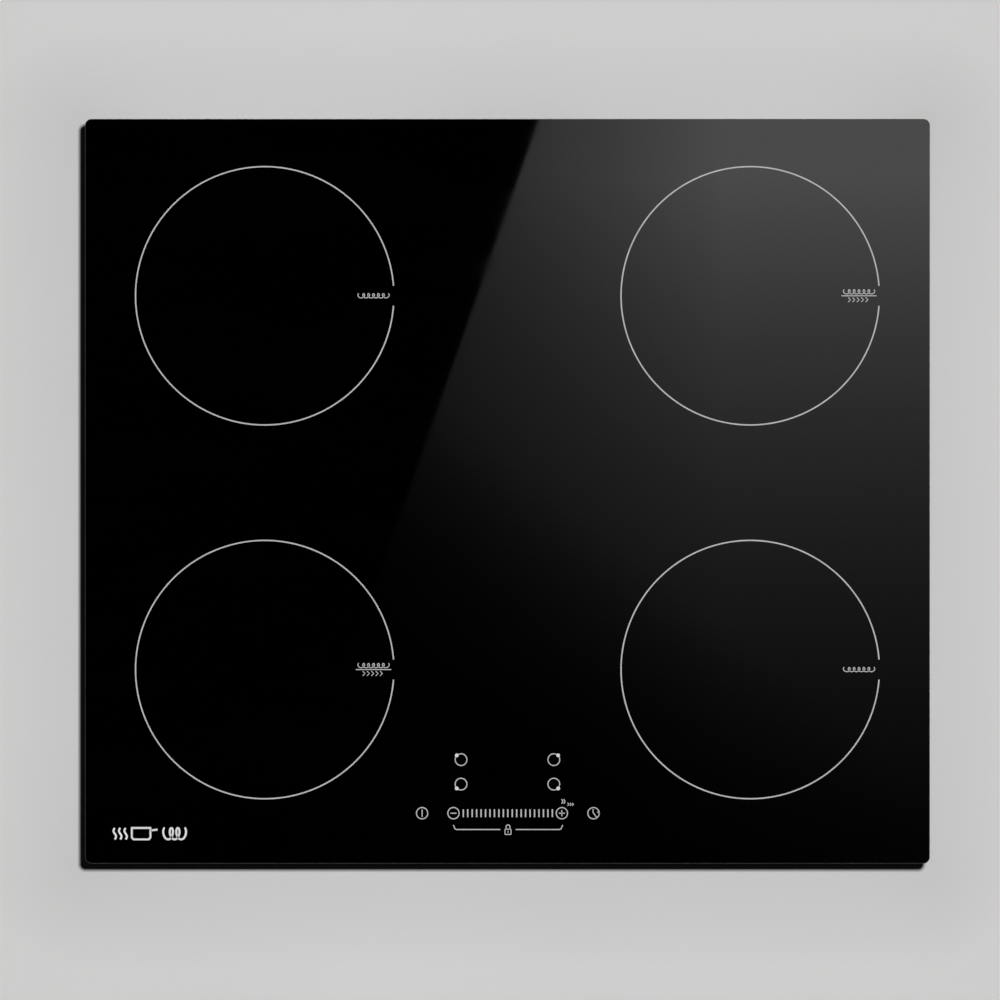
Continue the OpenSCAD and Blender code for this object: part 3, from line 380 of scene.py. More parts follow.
def braidedSleeve(name, look):
    made, tree, shader = newFinish(name, **{"IOR": 1.45})
    place = objectPlace(tree)
    weave = put(tree, "ShaderNodeTexWave", {
        "Vector": place, "Scale": look["weave"], "Distortion": 1.5, "Detail": 1.0, "Detail Scale": 3.0},
        wave_type="BANDS", bands_direction="DIAGONAL")
    cloud = clouded(tree, look, 90.0, 0.12)
    # painted shade: the colour is darkened along the weave's bands, standing in for the shade between the
    # threads
    depth = calc(tree, "MULTIPLY", weave.outputs["Fac"], 0.35)
    shadeInGrooves = mixTones(tree, depth, cloud["Color"], tint(look["shadeInGrooves"]))
    coat(tree, shader, shadeInGrooves, cloud["Roughness"])
    bumpFrom(tree, weave.outputs["Fac"], shader, look.get("bump", 0.35), 0.1 * mm)
    return made


def displayWindow(name, look):
    made, tree, shader = newFinish(name, **{"IOR": 1.5, "Coat Weight": 1.0, "Coat Roughness": 0.05})
    cloud = clouded(tree, look, 120.0, 0.1)
    coat(tree, shader, cloud["Color"], cloud["Roughness"])
    grain = useEffect(tree, mouldGrain, {"Scale": 3000.0})
    bumpFrom(tree, grain["Height"], shader, 0.08, 0.02 * mm)
    return made


def ceramicGlass(name, look):
    made, tree, shader = newFinish(name, **{"IOR": look["ior"]})
    film = useEffect(tree, wipedFilm, {"Scale": look["wipes"], "Amount": 1.0})["Film"]
    facing = put(tree, "ShaderNodeSeparateXYZ", {
        0: put(tree, "ShaderNodeNewGeometry").outputs["True Normal"]}).outputs[2]
    ground = spread(tree, facing, 0.95, 0.9)      # the bevel and the sides, which are ground and not polished
    bevel = calc(tree, "MULTIPLY", ground, spread(tree, facing, 0.3, 0.6))
    grit = spread(tree, noiseAt(tree, objectPlace(tree), 1800.0, 2.0), 0.3, 0.7, 0.75, 1.0)
    body = mixTones(tree, film, tint(look["tone"]), tint(look["haze"]))
    cut = mixTones(tree, calc(tree, "MULTIPLY", bevel, grit), tint(look["side"]), tint(look["bevel"]))
    tree.links.new(mixTones(tree, ground, body, cut), shader.inputs["Base Color"])
    polished = spread(tree, film, 0.0, 1.0, look["rough"], look["rough"] + look["filmRough"])
    rough = calc(tree, "ADD", polished, calc(tree, "MULTIPLY", ground, look["groundRough"]))
    tree.links.new(rough, shader.inputs["Roughness"])
    roll = noiseAt(tree, objectPlace(tree), look["rolls"], 1.0)
    bumpFrom(tree, roll, shader, 0.05, 0.02 * mm)
    return made


def firedPrint(name, look):
    made, tree, shader = newFinish(name, **{"IOR": 1.5})
    cloud = clouded(tree, look, 150.0, 0.2)
    coat(tree, shader, cloud["Color"], cloud["Roughness"])
    grain = useEffect(tree, mouldGrain, {"Scale": 5200.0})
    bumpFrom(tree, grain["Height"], shader, 0.3, 0.02 * mm)
    return made


def darkLook(level, rough, **more):
    look = {"tone": (level, level, level * 1.04), "shade": (level * 0.72,) * 3,
            "rub": (level * 2.2 + 0.02,) * 3, "rough": rough}
    look.update(more)
    return look


steelLook = {
    "tone": (0.60, 0.61, 0.62), "shade": (0.46, 0.47, 0.49), "rub": (0.82, 0.82, 0.82), "rough": 0.36}
brassLook = {
    "tone": (0.72, 0.52, 0.22), "shade": (0.55, 0.37, 0.14), "rub": (0.90, 0.74, 0.42), "rough": 0.30}

finishes = {
    "ceramic_glass": ceramicGlass("ceramicGlass", {
        "tone": (0.0002, 0.0002, 0.00025), "haze": (0.0007, 0.0007, 0.0008), "ior": 1.52,
        "rough": 0.018, "filmRough": 0.012, "wipes": 7.0, "rolls": 22.0,
        "side": (0.006, 0.006, 0.007), "bevel": (0.012, 0.012, 0.013), "groundRough": 0.22}),
    "silicone": softRubber("bondingSilicone", {
        "tone": (0.018, 0.018, 0.019), "shade": (0.010, 0.010, 0.011), "poreShade": (0.006, 0.006, 0.006),
        "rough": 0.42, "cells": 700.0, "bump": 0.15, "poreShadeAmount": 0.2}),
    "foam_gasket": softRubber("sealFoam", {
        "tone": (0.050, 0.050, 0.053), "shade": (0.032, 0.032, 0.034), "poreShade": (0.006, 0.006, 0.006),
        "rough": 0.88, "cells": 1300.0, "bump": 0.8, "poreShadeAmount": 0.8}),
    "frame_steel": rolledMetal("frameSteel", {**steelLook, "stretch": (0.05, 0.05, 1.0)}),
    "pan_steel": galvanisedSheet("galvanisedPan", {
        "tone": (0.44, 0.46, 0.48), "shade": (0.38, 0.40, 0.42), "facet": (0.55, 0.57, 0.59),
        "rub": (0.72, 0.72, 0.72), "rough": 0.40, "spangles": 165.0}),
    "plated_screw": rolledMetal("zincPlating", {
        "tone": (0.66, 0.66, 0.64), "shade": (0.50, 0.50, 0.48), "rub": (0.88, 0.88, 0.86),
        "rough": 0.26, "grain": 900.0, "stretch": (1.0, 1.0, 1.0), "cloud": 120.0, "ease": 0.15 * mm}),
    "tray_aluminium": rolledMetal("trayAluminium", {
        "tone": (0.80, 0.81, 0.82), "shade": (0.66, 0.67, 0.68), "rub": (0.93, 0.93, 0.93),
        "rough": 0.32, "stretch": (1.0, 0.03, 1.0)}),
    "brass": rolledMetal("turnedBrass", {**brassLook, "stretch": (1.0, 1.0, 0.05), "grain": 700.0}),
    "carrier_plastic": mouldedPlastic("carrierPlastic", darkLook(0.030, 0.52)),
    "litz_copper": strandedWire("litzCopper", {
        "tone": (0.86, 0.44, 0.22), "shade": (0.70, 0.30, 0.13), "shadeInGrooves": (0.20, 0.07, 0.03),
        "rough": 0.34, "strands": 6.0, "lay": 9.0 * mm}),
    "ferrite": speckledMineral("ferrite", {
        "tone": (0.045, 0.045, 0.048), "shade": (0.025, 0.025, 0.027), "fleck": (0.12, 0.12, 0.125),
        "rough": 0.62}),
    "mica": speckledMineral("mica", {
        "tone": (0.62, 0.55, 0.42), "shade": (0.48, 0.42, 0.31), "fleck": (0.86, 0.80, 0.66),
        "rough": 0.45, "grit": 320.0, "flecks": 0.85, "stretch": (1.0, 1.0, 4.0)}),
    "sensor_ceramic": speckledMineral("sensorCeramic", {
        "tone": (0.80, 0.78, 0.72), "shade": (0.70, 0.67, 0.60), "fleck": (0.90, 0.88, 0.84), "rough": 0.38}),
    "spring_steel": rolledMetal("springSteel", {
        "tone": (0.50, 0.51, 0.53), "shade": (0.36, 0.37, 0.39), "rub": (0.78, 0.78, 0.78),
        "rough": 0.28, "grain": 900.0, "stretch": (1.0, 1.0, 0.3)}),
    "silicone_lead": braidedSleeve("leadSleeve", {
        "tone": (0.55, 0.14, 0.03), "shade": (0.42, 0.09, 0.02), "shadeInGrooves": (0.20, 0.04, 0.01),
        "rough": 0.5, "weave": 420.0}),
    "circuit_board": circuitBoard("circuitBoard", {
        "tone": (0.012, 0.10, 0.045), "shade": (0.008, 0.075, 0.033), "track": (0.03, 0.20, 0.08),
        "tin": (0.62, 0.60, 0.54), "hole": (0.01, 0.01, 0.01), "rough": 0.34, "lanes": 90.0, "vias": 85.0}),
    "sink_aluminium": rolledMetal("sinkAluminium", {
        "tone": (0.76, 0.77, 0.78), "shade": (0.60, 0.61, 0.62), "rub": (0.92, 0.92, 0.92),
        "rough": 0.34, "grain": 700.0, "stretch": (1.0, 0.02, 1.0)}),
    "epoxy_black": mouldedPlastic("deviceEpoxy", darkLook(0.014, 0.46, grain=3200.0)),
    "capacitor_film": mouldedPlastic("capacitorCase", {
        "tone": (0.42, 0.022, 0.016), "shade": (0.33, 0.015, 0.012), "rub": (0.60, 0.10, 0.08),
        "rough": 0.36}),
    "choke_copper": strandedWire("chokeWire", {
        "tone": (0.72, 0.27, 0.10), "shade": (0.55, 0.18, 0.06), "shadeInGrooves": (0.30, 0.09, 0.03),
        "rough": 0.24, "strands": 1.0, "lay": 40.0 * mm}),
    "board_part": mouldedPlastic("partCases", darkLook(0.022, 0.44, grain=2600.0)),
    "nylon": mouldedPlastic("nylon", {
        "tone": (0.74, 0.73, 0.68), "shade": (0.66, 0.64, 0.58), "rub": (0.85, 0.84, 0.80), "rough": 0.42}),
    "blower_plastic": mouldedPlastic("blowerPlastic", darkLook(0.016, 0.5)),
    "wheel_plastic": mouldedPlastic("wheelPlastic", darkLook(0.026, 0.42)),
    "motor_core": rolledMetal("statorIron", {
        "tone": (0.33, 0.28, 0.22), "shade": (0.22, 0.18, 0.14), "rub": (0.58, 0.52, 0.44),
        "rough": 0.42, "grain": 2600.0, "stretch": (0.02, 0.02, 1.0), "bump": 0.6}),
    "filter_part": mouldedPlastic("filterCases", {
        "tone": (0.72, 0.68, 0.54), "shade": (0.62, 0.58, 0.45), "rub": (0.84, 0.80, 0.70), "rough": 0.4}),
    "box_plastic": mouldedPlastic("boxPlastic", darkLook(0.020, 0.5)),
    "lid_plastic": mouldedPlastic("lidPlastic", darkLook(0.028, 0.48)),
    "terminal_plastic": mouldedPlastic("terminalPlastic", {
        "tone": (0.70, 0.68, 0.60), "shade": (0.62, 0.60, 0.52), "rub": (0.82, 0.80, 0.74), "rough": 0.4}),
    "terminal_brass": rolledMetal("terminalBrass", {**brassLook, "stretch": (1.0, 1.0, 1.0), "grain": 900.0}),
    "gland_rubber": softRubber("glandRubber", {
        "tone": (0.014, 0.014, 0.014), "shade": (0.009, 0.009, 0.009), "poreShade": (0.005, 0.005, 0.005),
        "rough": 0.6, "cells": 2400.0, "bump": 0.2, "poreShadeAmount": 0.3}),
    "clamp_plastic": mouldedPlastic("clampPlastic", darkLook(0.036, 0.5)),
    "holder_plastic": mouldedPlastic("holderPlastic", {
        "tone": (0.66, 0.66, 0.63), "shade": (0.58, 0.58, 0.55), "rub": (0.78, 0.78, 0.76), "rough": 0.46}),
    "key_foam": softRubber("keyFoam", {
        "tone": (0.030, 0.030, 0.032), "shade": (0.018, 0.018, 0.020), "poreShade": (0.004, 0.004, 0.004),
        "rough": 0.9, "cells": 1900.0, "bump": 0.8, "poreShadeAmount": 0.8}),
    "display": displayWindow("displayWindow", {
        "tone": (0.055, 0.004, 0.004), "shade": (0.030, 0.003, 0.003), "rough": 0.2}),
    "ribbon": braidedSleeve("flatRibbon", {
        "tone": (0.46, 0.48, 0.52), "shade": (0.40, 0.42, 0.46), "shadeInGrooves": (0.20, 0.21, 0.24),
        "rough": 0.42, "weave": 260.0, "bump": 0.5}),
    "wire_sleeve": braidedSleeve("wireSleeve", {
        "tone": (0.14, 0.06, 0.025), "shade": (0.10, 0.04, 0.018), "shadeInGrooves": (0.05, 0.02, 0.01),
        "rough": 0.4, "weave": 300.0, "bump": 0.15}),
    "clamp_steel": rolledMetal("clampSteel", {
        **steelLook, "tone": (0.66, 0.66, 0.66), "rough": 0.3, "stretch": (1.0, 0.06, 1.0)}),
}
printEnamel = firedPrint("firedEnamel", {
    "tone": (0.70, 0.70, 0.71), "shade": (0.60, 0.60, 0.61), "rough": 0.5})
whiteEnamel = firedPrint("whiteEnamel", {
    "tone": (0.93, 0.93, 0.93), "shade": (0.86, 0.86, 0.86), "rough": 0.45})


def dressFrame():
    for part in frame["record"]["subparts"]:
        target = frame["nodes"][part["node"]]
        for place in target.material_slots:
            place.material = finishes[part["material_slot"]]


dressFrame()
print("finishes made:", len(finishes) + 2)


def growTree(name, inputs, wire):
    tree = bpy.data.node_groups.new(name, "GeometryNodeTree")
    tree.is_modifier = True
    tree.interface.new_socket("Geometry", in_out="INPUT", socket_type="NodeSocketGeometry")
    for label, kind, value in inputs + [("Finish", "Material", None)]:
        socket = tree.interface.new_socket(label, in_out="INPUT", socket_type="NodeSocket" + kind)
        if value is not None:
            socket.default_value = value
    tree.interface.new_socket("Geometry", in_out="OUTPUT", socket_type="NodeSocketGeometry")
    enter = put(tree, "NodeGroupInput").outputs
    shape = wire(tree, enter)
    real = put(tree, "GeometryNodeRealizeInstances", {0: shape}).outputs[0]
    coated = put(tree, "GeometryNodeSetMaterial", {"Geometry": real, "Material": enter["Finish"]}).outputs[0]
    put(tree, "NodeGroupOutput", {0: coated})
    return tree


def seedMesh(name, points, strokes=()):
    mesh = bpy.data.meshes.new(name)
    mesh.from_pydata([Vector(p) for p in points], list(strokes), [])
    return mesh


def grow(name, tree, values, seed, finish, smooth=True):
    carrier = bpy.data.objects.new(name, seed)
    scene.collection.objects.link(carrier)
    growth = carrier.modifiers.new("growth", "NODES")
    growth.node_group = tree
    wanted = dict(values, Finish=finish)
    for item in tree.interface.items_tree:
        if item.in_out == "INPUT" and item.name in wanted:
            growth[item.identifier] = wanted[item.name]
    graph = bpy.context.evaluated_depsgraph_get()
    mesh = bpy.data.meshes.new_from_object(carrier.evaluated_get(graph), depsgraph=graph)
    carrier.modifiers.clear()
    carrier.data = mesh
    mesh.name = name
    for face in mesh.polygons:
        face.use_smooth = smooth
    print("grown", name, len(mesh.polygons), "faces")
    return carrier


def circle(tree, steps, radius):
    return put(tree, "GeometryNodeCurvePrimitiveCircle", {"Resolution": steps, "Radius": radius}).outputs[0]


def bandProfile(tree, width, depth):
    return put(tree, "GeometryNodeCurvePrimitiveQuadrilateral", {0: width, 1: depth}).outputs[0]


def sweptBand(tree, path, width, depth):
    upright = put(tree, "GeometryNodeSetCurveNormal", {"Curve": path}, mode="Z_UP").outputs[0]
    return put(tree, "GeometryNodeCurveToMesh", {
        "Curve": upright, "Profile Curve": bandProfile(tree, width, depth), "Fill Caps": True}).outputs[0]


def onPoints(tree, enter, shape):
    return put(tree, "GeometryNodeInstanceOnPoints", {
        "Points": enter["Geometry"], "Instance": shape}).outputs[0]


# an open ring of print around each seed point
def wireArcBand(tree, enter):
    arc = put(tree, "GeometryNodeCurveArc", {
        "Resolution": enter["Steps"], "Radius": enter["Radius"],
        "Start Angle": enter["Start"], "Sweep Angle": enter["Sweep"]}).outputs[0]
    return onPoints(tree, enter, sweptBand(tree, arc, enter["Line"], enter["Film"]))


# a closed ring of print around each seed point
def wireRingBand(tree, enter):
    ring = circle(tree, enter["Steps"], enter["Radius"])
    return onPoints(tree, enter, sweptBand(tree, ring, enter["Line"], enter["Film"]))


# a filled dot of print on each seed point
def wireDots(tree, enter):
    dot = put(tree, "GeometryNodeMeshCylinder", {
        "Vertices": enter["Steps"], "Radius": enter["Radius"], "Depth": enter["Film"]}).outputs[0]
    return onPoints(tree, enter, dot)


# a row of upright bars, from the seed point to the right
def wireBars(tree, enter):
    step = put(tree, "ShaderNodeCombineXYZ", {"X": enter["Pitch"]}).outputs[0]
    row = put(tree, "GeometryNodeMeshLine", {"Count": enter["Count"], "Offset": step}).outputs[0]
    size = put(tree, "ShaderNodeCombineXYZ", {
        "X": enter["Line"], "Y": enter["Height"], "Z": enter["Film"]}).outputs[0]
    bar = put(tree, "GeometryNodeMeshCube", {"Size": size}).outputs[0]
    bars = put(tree, "GeometryNodeInstanceOnPoints", {"Points": row, "Instance": bar}).outputs[0]
    whole = put(tree, "GeometryNodeRealizeInstances", {0: bars}).outputs[0]
    return onPoints(tree, enter, whole)


# print along every stroke of the seed
def wireStrokes(tree, enter):
    path = put(tree, "GeometryNodeMeshToCurve", {"Mesh": enter["Geometry"]}).outputs[0]
    return sweptBand(tree, path, enter["Line"], enter["Film"])


filmInputs = [("Line", "Float", 0.9 * mm), ("Film", "Float", 0.05 * mm)]
arcTree = growTree("arcBands", filmInputs + [
    ("Radius", "Float", 90 * mm), ("Start", "Float", 0.0), ("Sweep", "Float", 6.0), ("Steps", "Int", 240),
], wireArcBand)
ringTree = growTree("ringBands", filmInputs + [
    ("Radius", "Float", 4.3 * mm), ("Steps", "Int", 48)], wireRingBand)
dotTree = growTree("printDots", [
    ("Film", "Float", 0.05 * mm), ("Radius", "Float", 1.4 * mm), ("Steps", "Int", 24)], wireDots)
barTree = growTree("sliderBars", filmInputs + [
    ("Height", "Float", 5.5 * mm), ("Pitch", "Float", 3.1 * mm), ("Count", "Int", 21)], wireBars)
strokeTree = growTree("inkStrokes", filmInputs, wireStrokes)


filmDepth = 0.05 * mm
filmSink = 0.01 * mm                # how far the print bites into the glass
filmMid = glassTop + filmDepth / 2 - filmSink

zoneLook = {
    "radius": 90.2 * mm,
    "line": 0.92 * mm,
    "gapHalf": 7.0 * mm,            # opening at the right of each ring, for its mark
    "steps": 240,
}
coilBoxes = {corner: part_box("coil_carrier_" + corner)
             for corner in ("rear_left", "rear_right", "front_left", "front_right")}
coilSpots = {corner: (low + high) / 2 for corner, (low, high) in coilBoxes.items()}


def onGlass(x, y):
    return (x, y, filmMid)


def finishPrint(piece):
    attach(piece, "root")
    return piece


def makeZoneRings(look):
    gap = math.asin(look["gapHalf"] / look["radius"])
    sweep = 2 * math.pi - 2 * gap
    seed = seedMesh("zoneRings", [onGlass(spot.x, spot.y) for spot in coilSpots.values()])
    rings = grow("zone_rings", arcTree, {
        "Line": look["line"], "Film": filmDepth, "Radius": look["radius"],
        "Start": gap, "Sweep": sweep, "Steps": look["steps"]}, seed, printEnamel, smooth=False)
    return finishPrint(rings)


# strokes are lists of points in millimetres; a mark is drawn about its own middle
def arcStroke(x, y, radius, start, sweep, steps=16):
    angles = [math.radians(start + sweep * i / steps) for i in range(steps + 1)]
    return [(x + radius * math.cos(a), y + radius * math.sin(a)) for a in angles]


def coilMark(width, height, loops):
    steps = 24 * loops
    bulge = 0.36 * width / loops      # how far each loop swings past the line's own advance
    travel = width - 2 * bulge
    points = []
    for i in range(steps + 1):
        turn = math.pi * (2 * loops * i / steps + 0.5)
        x = travel * (i / steps - 0.5) + bulge * math.cos(turn)
        points.append((x, height / 2 * math.sin(turn)))
    return [points]


def chevronMark(count, width, height):
    strokes = []
    pitch = width / count
    for i in range(count):
        x = -width / 2 + pitch * i
        strokes.append([(x, -height / 2), (x + pitch * 0.55, 0.0), (x, height / 2)])
    return strokes


def panMark(width, height):
    half = width / 2
    return [
        [(-half, height * 0.42), (-half, -height * 0.34), (-half + 1.2, -height * 0.5),
         (half - 1.2, -height * 0.5), (half, -height * 0.34), (half, height * 0.42)],
        [(half, height * 0.28), (half + 5.0, height * 0.36)],
        [(-half - 0.6, height * 0.5), (half + 0.6, height * 0.5)],
    ]


def heatMark(width, height, count):
    strokes = []
    for k in range(count):
        x = width * (k / (count - 1) - 0.5)
        turns = [math.pi * i / 8 for i in range(17)]
        strokes.append([(x + 0.9 * math.sin(turn), height * (turn / (2 * math.pi) - 0.5)) for turn in turns])
    return strokes


def padlockMark():
    body = [(-1.8, -3.4), (1.8, -3.4), (2.1, -3.1), (2.1, -0.1), (1.8, 0.2), (-1.8, 0.2), (-2.1, -0.1),
            (-2.1, -3.1), (-1.8, -3.4)]
    shackle = [(-1.35, 0.2), (-1.35, 1.9)] + arcStroke(0.0, 1.9, 1.35, 180, -180) + [(1.35, 0.2)]
    return [body, shackle, [(0.0, -2.2), (0.0, -1.0)]]


def moved(strokes, x, y):
    return [[(px + x, py + y) for px, py in stroke] for stroke in strokes]


def makeStrokes(name, strokes, line, enamel=printEnamel):
    points, edges = [], []
    for stroke in strokes:
        closed = math.dist(stroke[0], stroke[-1]) < 1e-6
        kept = stroke[:-1] if closed else stroke
        first = len(points)
        points += [onGlass(x * mm, y * mm) for x, y in kept]
        edges += [(first + i, first + i + 1) for i in range(len(kept) - 1)]
        if closed:
            edges.append((first + len(kept) - 1, first))
    seed = seedMesh(name, points, edges)
    piece = grow(name, strokeTree, {"Line": line, "Film": filmDepth}, seed, enamel, smooth=False)
    return finishPrint(piece)


zoneMarkLook = {
    "line": 0.6 * mm,
    "fromMiddle": 76.0,             # millimetres, from the zone's middle to the mark's
    "width": 23.4,
    "height": 3.0,
    "loops": 6,
    "lift": 2.75,                   # how far a boost zone's coil mark stands above its rule
    "chevrons": 5,
    "boosted": ("rear_right", "front_left"),
}


def makeZoneMarks(look):
    strokes = []
    for corner, spot in coilSpots.items():
        x, y = spot.x / mm + look["fromMiddle"], spot.y / mm
        coil = coilMark(look["width"], look["height"], look["loops"])
        if corner in look["boosted"]:
            half = look["width"] / 2 + 0.6
            strokes += moved(coil, x, y + look["lift"])
            strokes.append([(x - half, y), (x + half, y)])
            strokes += moved(chevronMark(look["chevrons"], 15.2, 3.2), x, y - look["lift"])
        else:
            strokes += moved(coil, x, y)
    return makeStrokes("zone_marks", strokes, look["line"])


controlLook = {
    "row": -224.8,                  # the slider's line, in millimetres from the middle of the glass
    "keyRadius": 3.95,
    "zoneKeyRadius": 4.1,
    "line": 0.7 * mm,
    "powerX": -59.6,
    "minusX": -37.7,
    "plusX": 38.0,
    "timerX": 60.1,
    "zoneKeysX": 32.4,
    "zoneKeysY": (-187.4, -204.5),
    "dotAcross": 3.0,
    "dotRadius": 1.3 * mm,
    "slider": {"start": -30.85, "count": 21, "pitch": 3.11, "height": 5.5 * mm, "line": 0.92 * mm},
    "lockRow": -236.2,
    "lockX": 0.4,
    "lockReach": 38.2,
    "lockRise": 3.2,
}


def ringSeed(name, places):
    return seedMesh(name, [onGlass(x * mm, y * mm) for x, y in places])


def zoneKeyPlaces(look):
    return [(side * look["zoneKeysX"], y) for side in (-1, 1) for y in look["zoneKeysY"]]


def makeControlRings(look):
    row = [(x, look["row"]) for x in (look["powerX"], look["minusX"], look["plusX"], look["timerX"])]
    values = {"Line": look["line"], "Film": filmDepth, "Steps": 48}
    keys = grow("key_rings", ringTree, dict(values, Radius=look["keyRadius"] * mm),
                ringSeed("keyRings", row), printEnamel, smooth=False)
    zones = grow("zone_key_rings", ringTree, dict(values, Radius=look["zoneKeyRadius"] * mm),
                 ringSeed("zoneKeyRings", zoneKeyPlaces(look)), printEnamel, smooth=False)
    return finishPrint(keys), finishPrint(zones)


def makeZoneDots(look):
    rearY = max(look["zoneKeysY"])
    places = [(x + math.copysign(look["dotAcross"], x), y + (1 if y == rearY else -1) * look["dotAcross"])
              for x, y in zoneKeyPlaces(look)]
    dots = grow("zone_key_dots", dotTree, {"Film": filmDepth * 1.2, "Radius": look["dotRadius"], "Steps": 28},
                ringSeed("zoneDots", places), whiteEnamel, smooth=False)
    return finishPrint(dots)


def makeSlider(look):
    slide = look["slider"]
    bars = grow("slider_bars", barTree, {
        "Line": slide["line"], "Film": filmDepth, "Height": slide["height"],
        "Pitch": slide["pitch"] * mm, "Count": slide["count"]},
        ringSeed("slider", [(slide["start"], look["row"])]), printEnamel, smooth=False)
    return finishPrint(bars)


def makeControlMarks(look):
    row, lock, reach = look["row"], look["lockRow"], look["lockReach"]
    clockX = look["timerX"] - 0.3
    clockEdge = look["timerX"] + look["keyRadius"]
    strokes = [
        [(look["powerX"], row - 2.5), (look["powerX"], row + 2.5)],
        [(look["minusX"] - 2.1, row), (look["minusX"] + 2.1, row)],
        [(look["plusX"] - 2.1, row), (look["plusX"] + 2.1, row)],
        [(look["plusX"], row - 2.1), (look["plusX"], row + 2.1)],
        [(clockX, row + 2.8), (clockX, row + 0.4), (look["timerX"] + 2.2, row - 2.9)],
        [(clockEdge - 1.3, row + 0.9), (clockEdge, row + 0.1)],
    ]
    for side in (-1, 1):
        bendX = look["lockX"] + side * (reach - 2.4)
        bend = arcStroke(bendX, lock + 1.6, 1.6, -90, side * 60, 6)
        end = (look["lockX"] + side * reach, lock + look["lockRise"])
        strokes.append([(look["lockX"] + side * 5.4, lock)] + bend + [end])
    strokes += moved(padlockMark(), look["lockX"], lock)
    strokes += moved(chevronMark(2, 3.0, 3.2), look["plusX"] + 1.4, row + 8.2)
    strokes += moved(chevronMark(3, 4.8, 1.9), look["plusX"] + 6.4, row + 6.2)
    return makeStrokes("control_marks", strokes, look["line"])


cornerLook = {"x": -249.0, "y": -239.1, "height": 8.0, "line": 1.42 * mm}


def makeCornerMarks(look):
    strokes = moved(heatMark(7.6, look["height"], 3), look["x"] - 21.4, look["y"])
    strokes += moved(panMark(13.0, look["height"]), look["x"] - 6.8, look["y"])
    strokes += moved(coilMark(18.0, look["height"], 3), look["x"] + 16.6, look["y"])
    return makeStrokes("corner_marks", strokes, look["line"], whiteEnamel)


makeZoneRings(zoneLook)
makeZoneMarks(zoneMarkLook)
makeControlRings(controlLook)
makeZoneDots(controlLook)
makeSlider(controlLook)
makeControlMarks(controlLook)
makeCornerMarks(cornerLook)


def namedAlong(tree, curve):
    length = put(tree, "GeometryNodeSplineParameter").outputs["Length"]
    return put(tree, "GeometryNodeStoreNamedAttribute", {
        "Geometry": curve, "Name": "along", "Value": length}, data_type="FLOAT", domain="POINT").outputs[0]


def wireProfile(tree, enter):
    ring = circle(tree, enter["Sides"], enter["Wire"])
    factor = put(tree, "GeometryNodeSplineParameter").outputs["Factor"]
    return put(tree, "GeometryNodeStoreNamedAttribute", {
        "Geometry": ring, "Name": "around", "Value": factor}, data_type="FLOAT", domain="POINT").outputs[0]


# a wound wire on each seed point: a flat spiral, or a helix when it rises
def wireWinding(tree, enter):
    spiral = put(tree, "GeometryNodeCurveSpiral", {
        "Resolution": enter["Steps"], "Rotations": enter["Turns"], "Start Radius": enter["From"],
        "End Radius": enter["To"], "Height": enter["Rise"]}).outputs[0]
    swept = put(tree, "GeometryNodeCurveToMesh", {
        "Curve": namedAlong(tree, spiral), "Profile Curve": wireProfile(tree, enter),
        "Fill Caps": True}).outputs[0]
    return onPoints(tree, enter, swept)


windingTree = growTree("windings", [
    ("Turns", "Float", 19.0), ("From", "Float", 27.4 * mm), ("To", "Float", 83.6 * mm),
    ("Rise", "Float", 0.0), ("Wire", "Float", 1.4 * mm), ("Steps", "Int", 64), ("Sides", "Int", 8),
], wireWinding)

litzLook = {"holeRadius": 26.0 * mm, "steps": 72, "sides": 10, "pitch": 2.958 * mm}


def makeWinding(corner, look):
    node = "coil_winding_" + corner
    low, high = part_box(node)
    middle = (low + high) / 2
    wireRadius = (high.z - low.z) / 2
    inner = look["holeRadius"] + wireRadius
    outer = (high.x - low.x) / 2 - wireRadius
    coil = grow("litz_coil_" + corner, windingTree, {
        "Turns": round((outer - inner) / look["pitch"]), "From": inner, "To": outer, "Rise": 0.0,
        "Wire": wireRadius, "Steps": look["steps"], "Sides": look["sides"]},
        seedMesh(node, [middle]), finishes["litz_copper"])
    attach(coil, "root")
    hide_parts(node)


for corner in coilSpots:
    makeWinding(corner, litzLook)

springLook = {
    "pitchRadius": 60.0 * mm,
    "angles": (22.5, 157.5, 292.5),
    "radius": 4.5 * mm,
    "wire": 0.55 * mm,
    "turns": 3.5,
    "steps": 24,
    "sides": 8,
}


def makeSprings(look):
    low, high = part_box("coil_springs")
    places = []
    for corner, spot in coilSpots.items():
        side = -1 if "left" in corner else 1
        for angle in look["angles"]:
            a = math.radians(angle)
            places.append((spot.x + side * look["pitchRadius"] * math.cos(a),
                           spot.y + look["pitchRadius"] * math.sin(a), low.z + look["wire"]))
    springs = grow("carrier_springs", windingTree, {
        "Turns": look["turns"], "From": look["radius"], "To": look["radius"],
        "Rise": high.z - low.z - 2 * look["wire"], "Wire": look["wire"],
        "Steps": look["steps"], "Sides": look["sides"]},
        seedMesh("springs", places), finishes["spring_steel"])
    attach(springs, "root")
    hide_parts("coil_springs")


makeSprings(springLook)


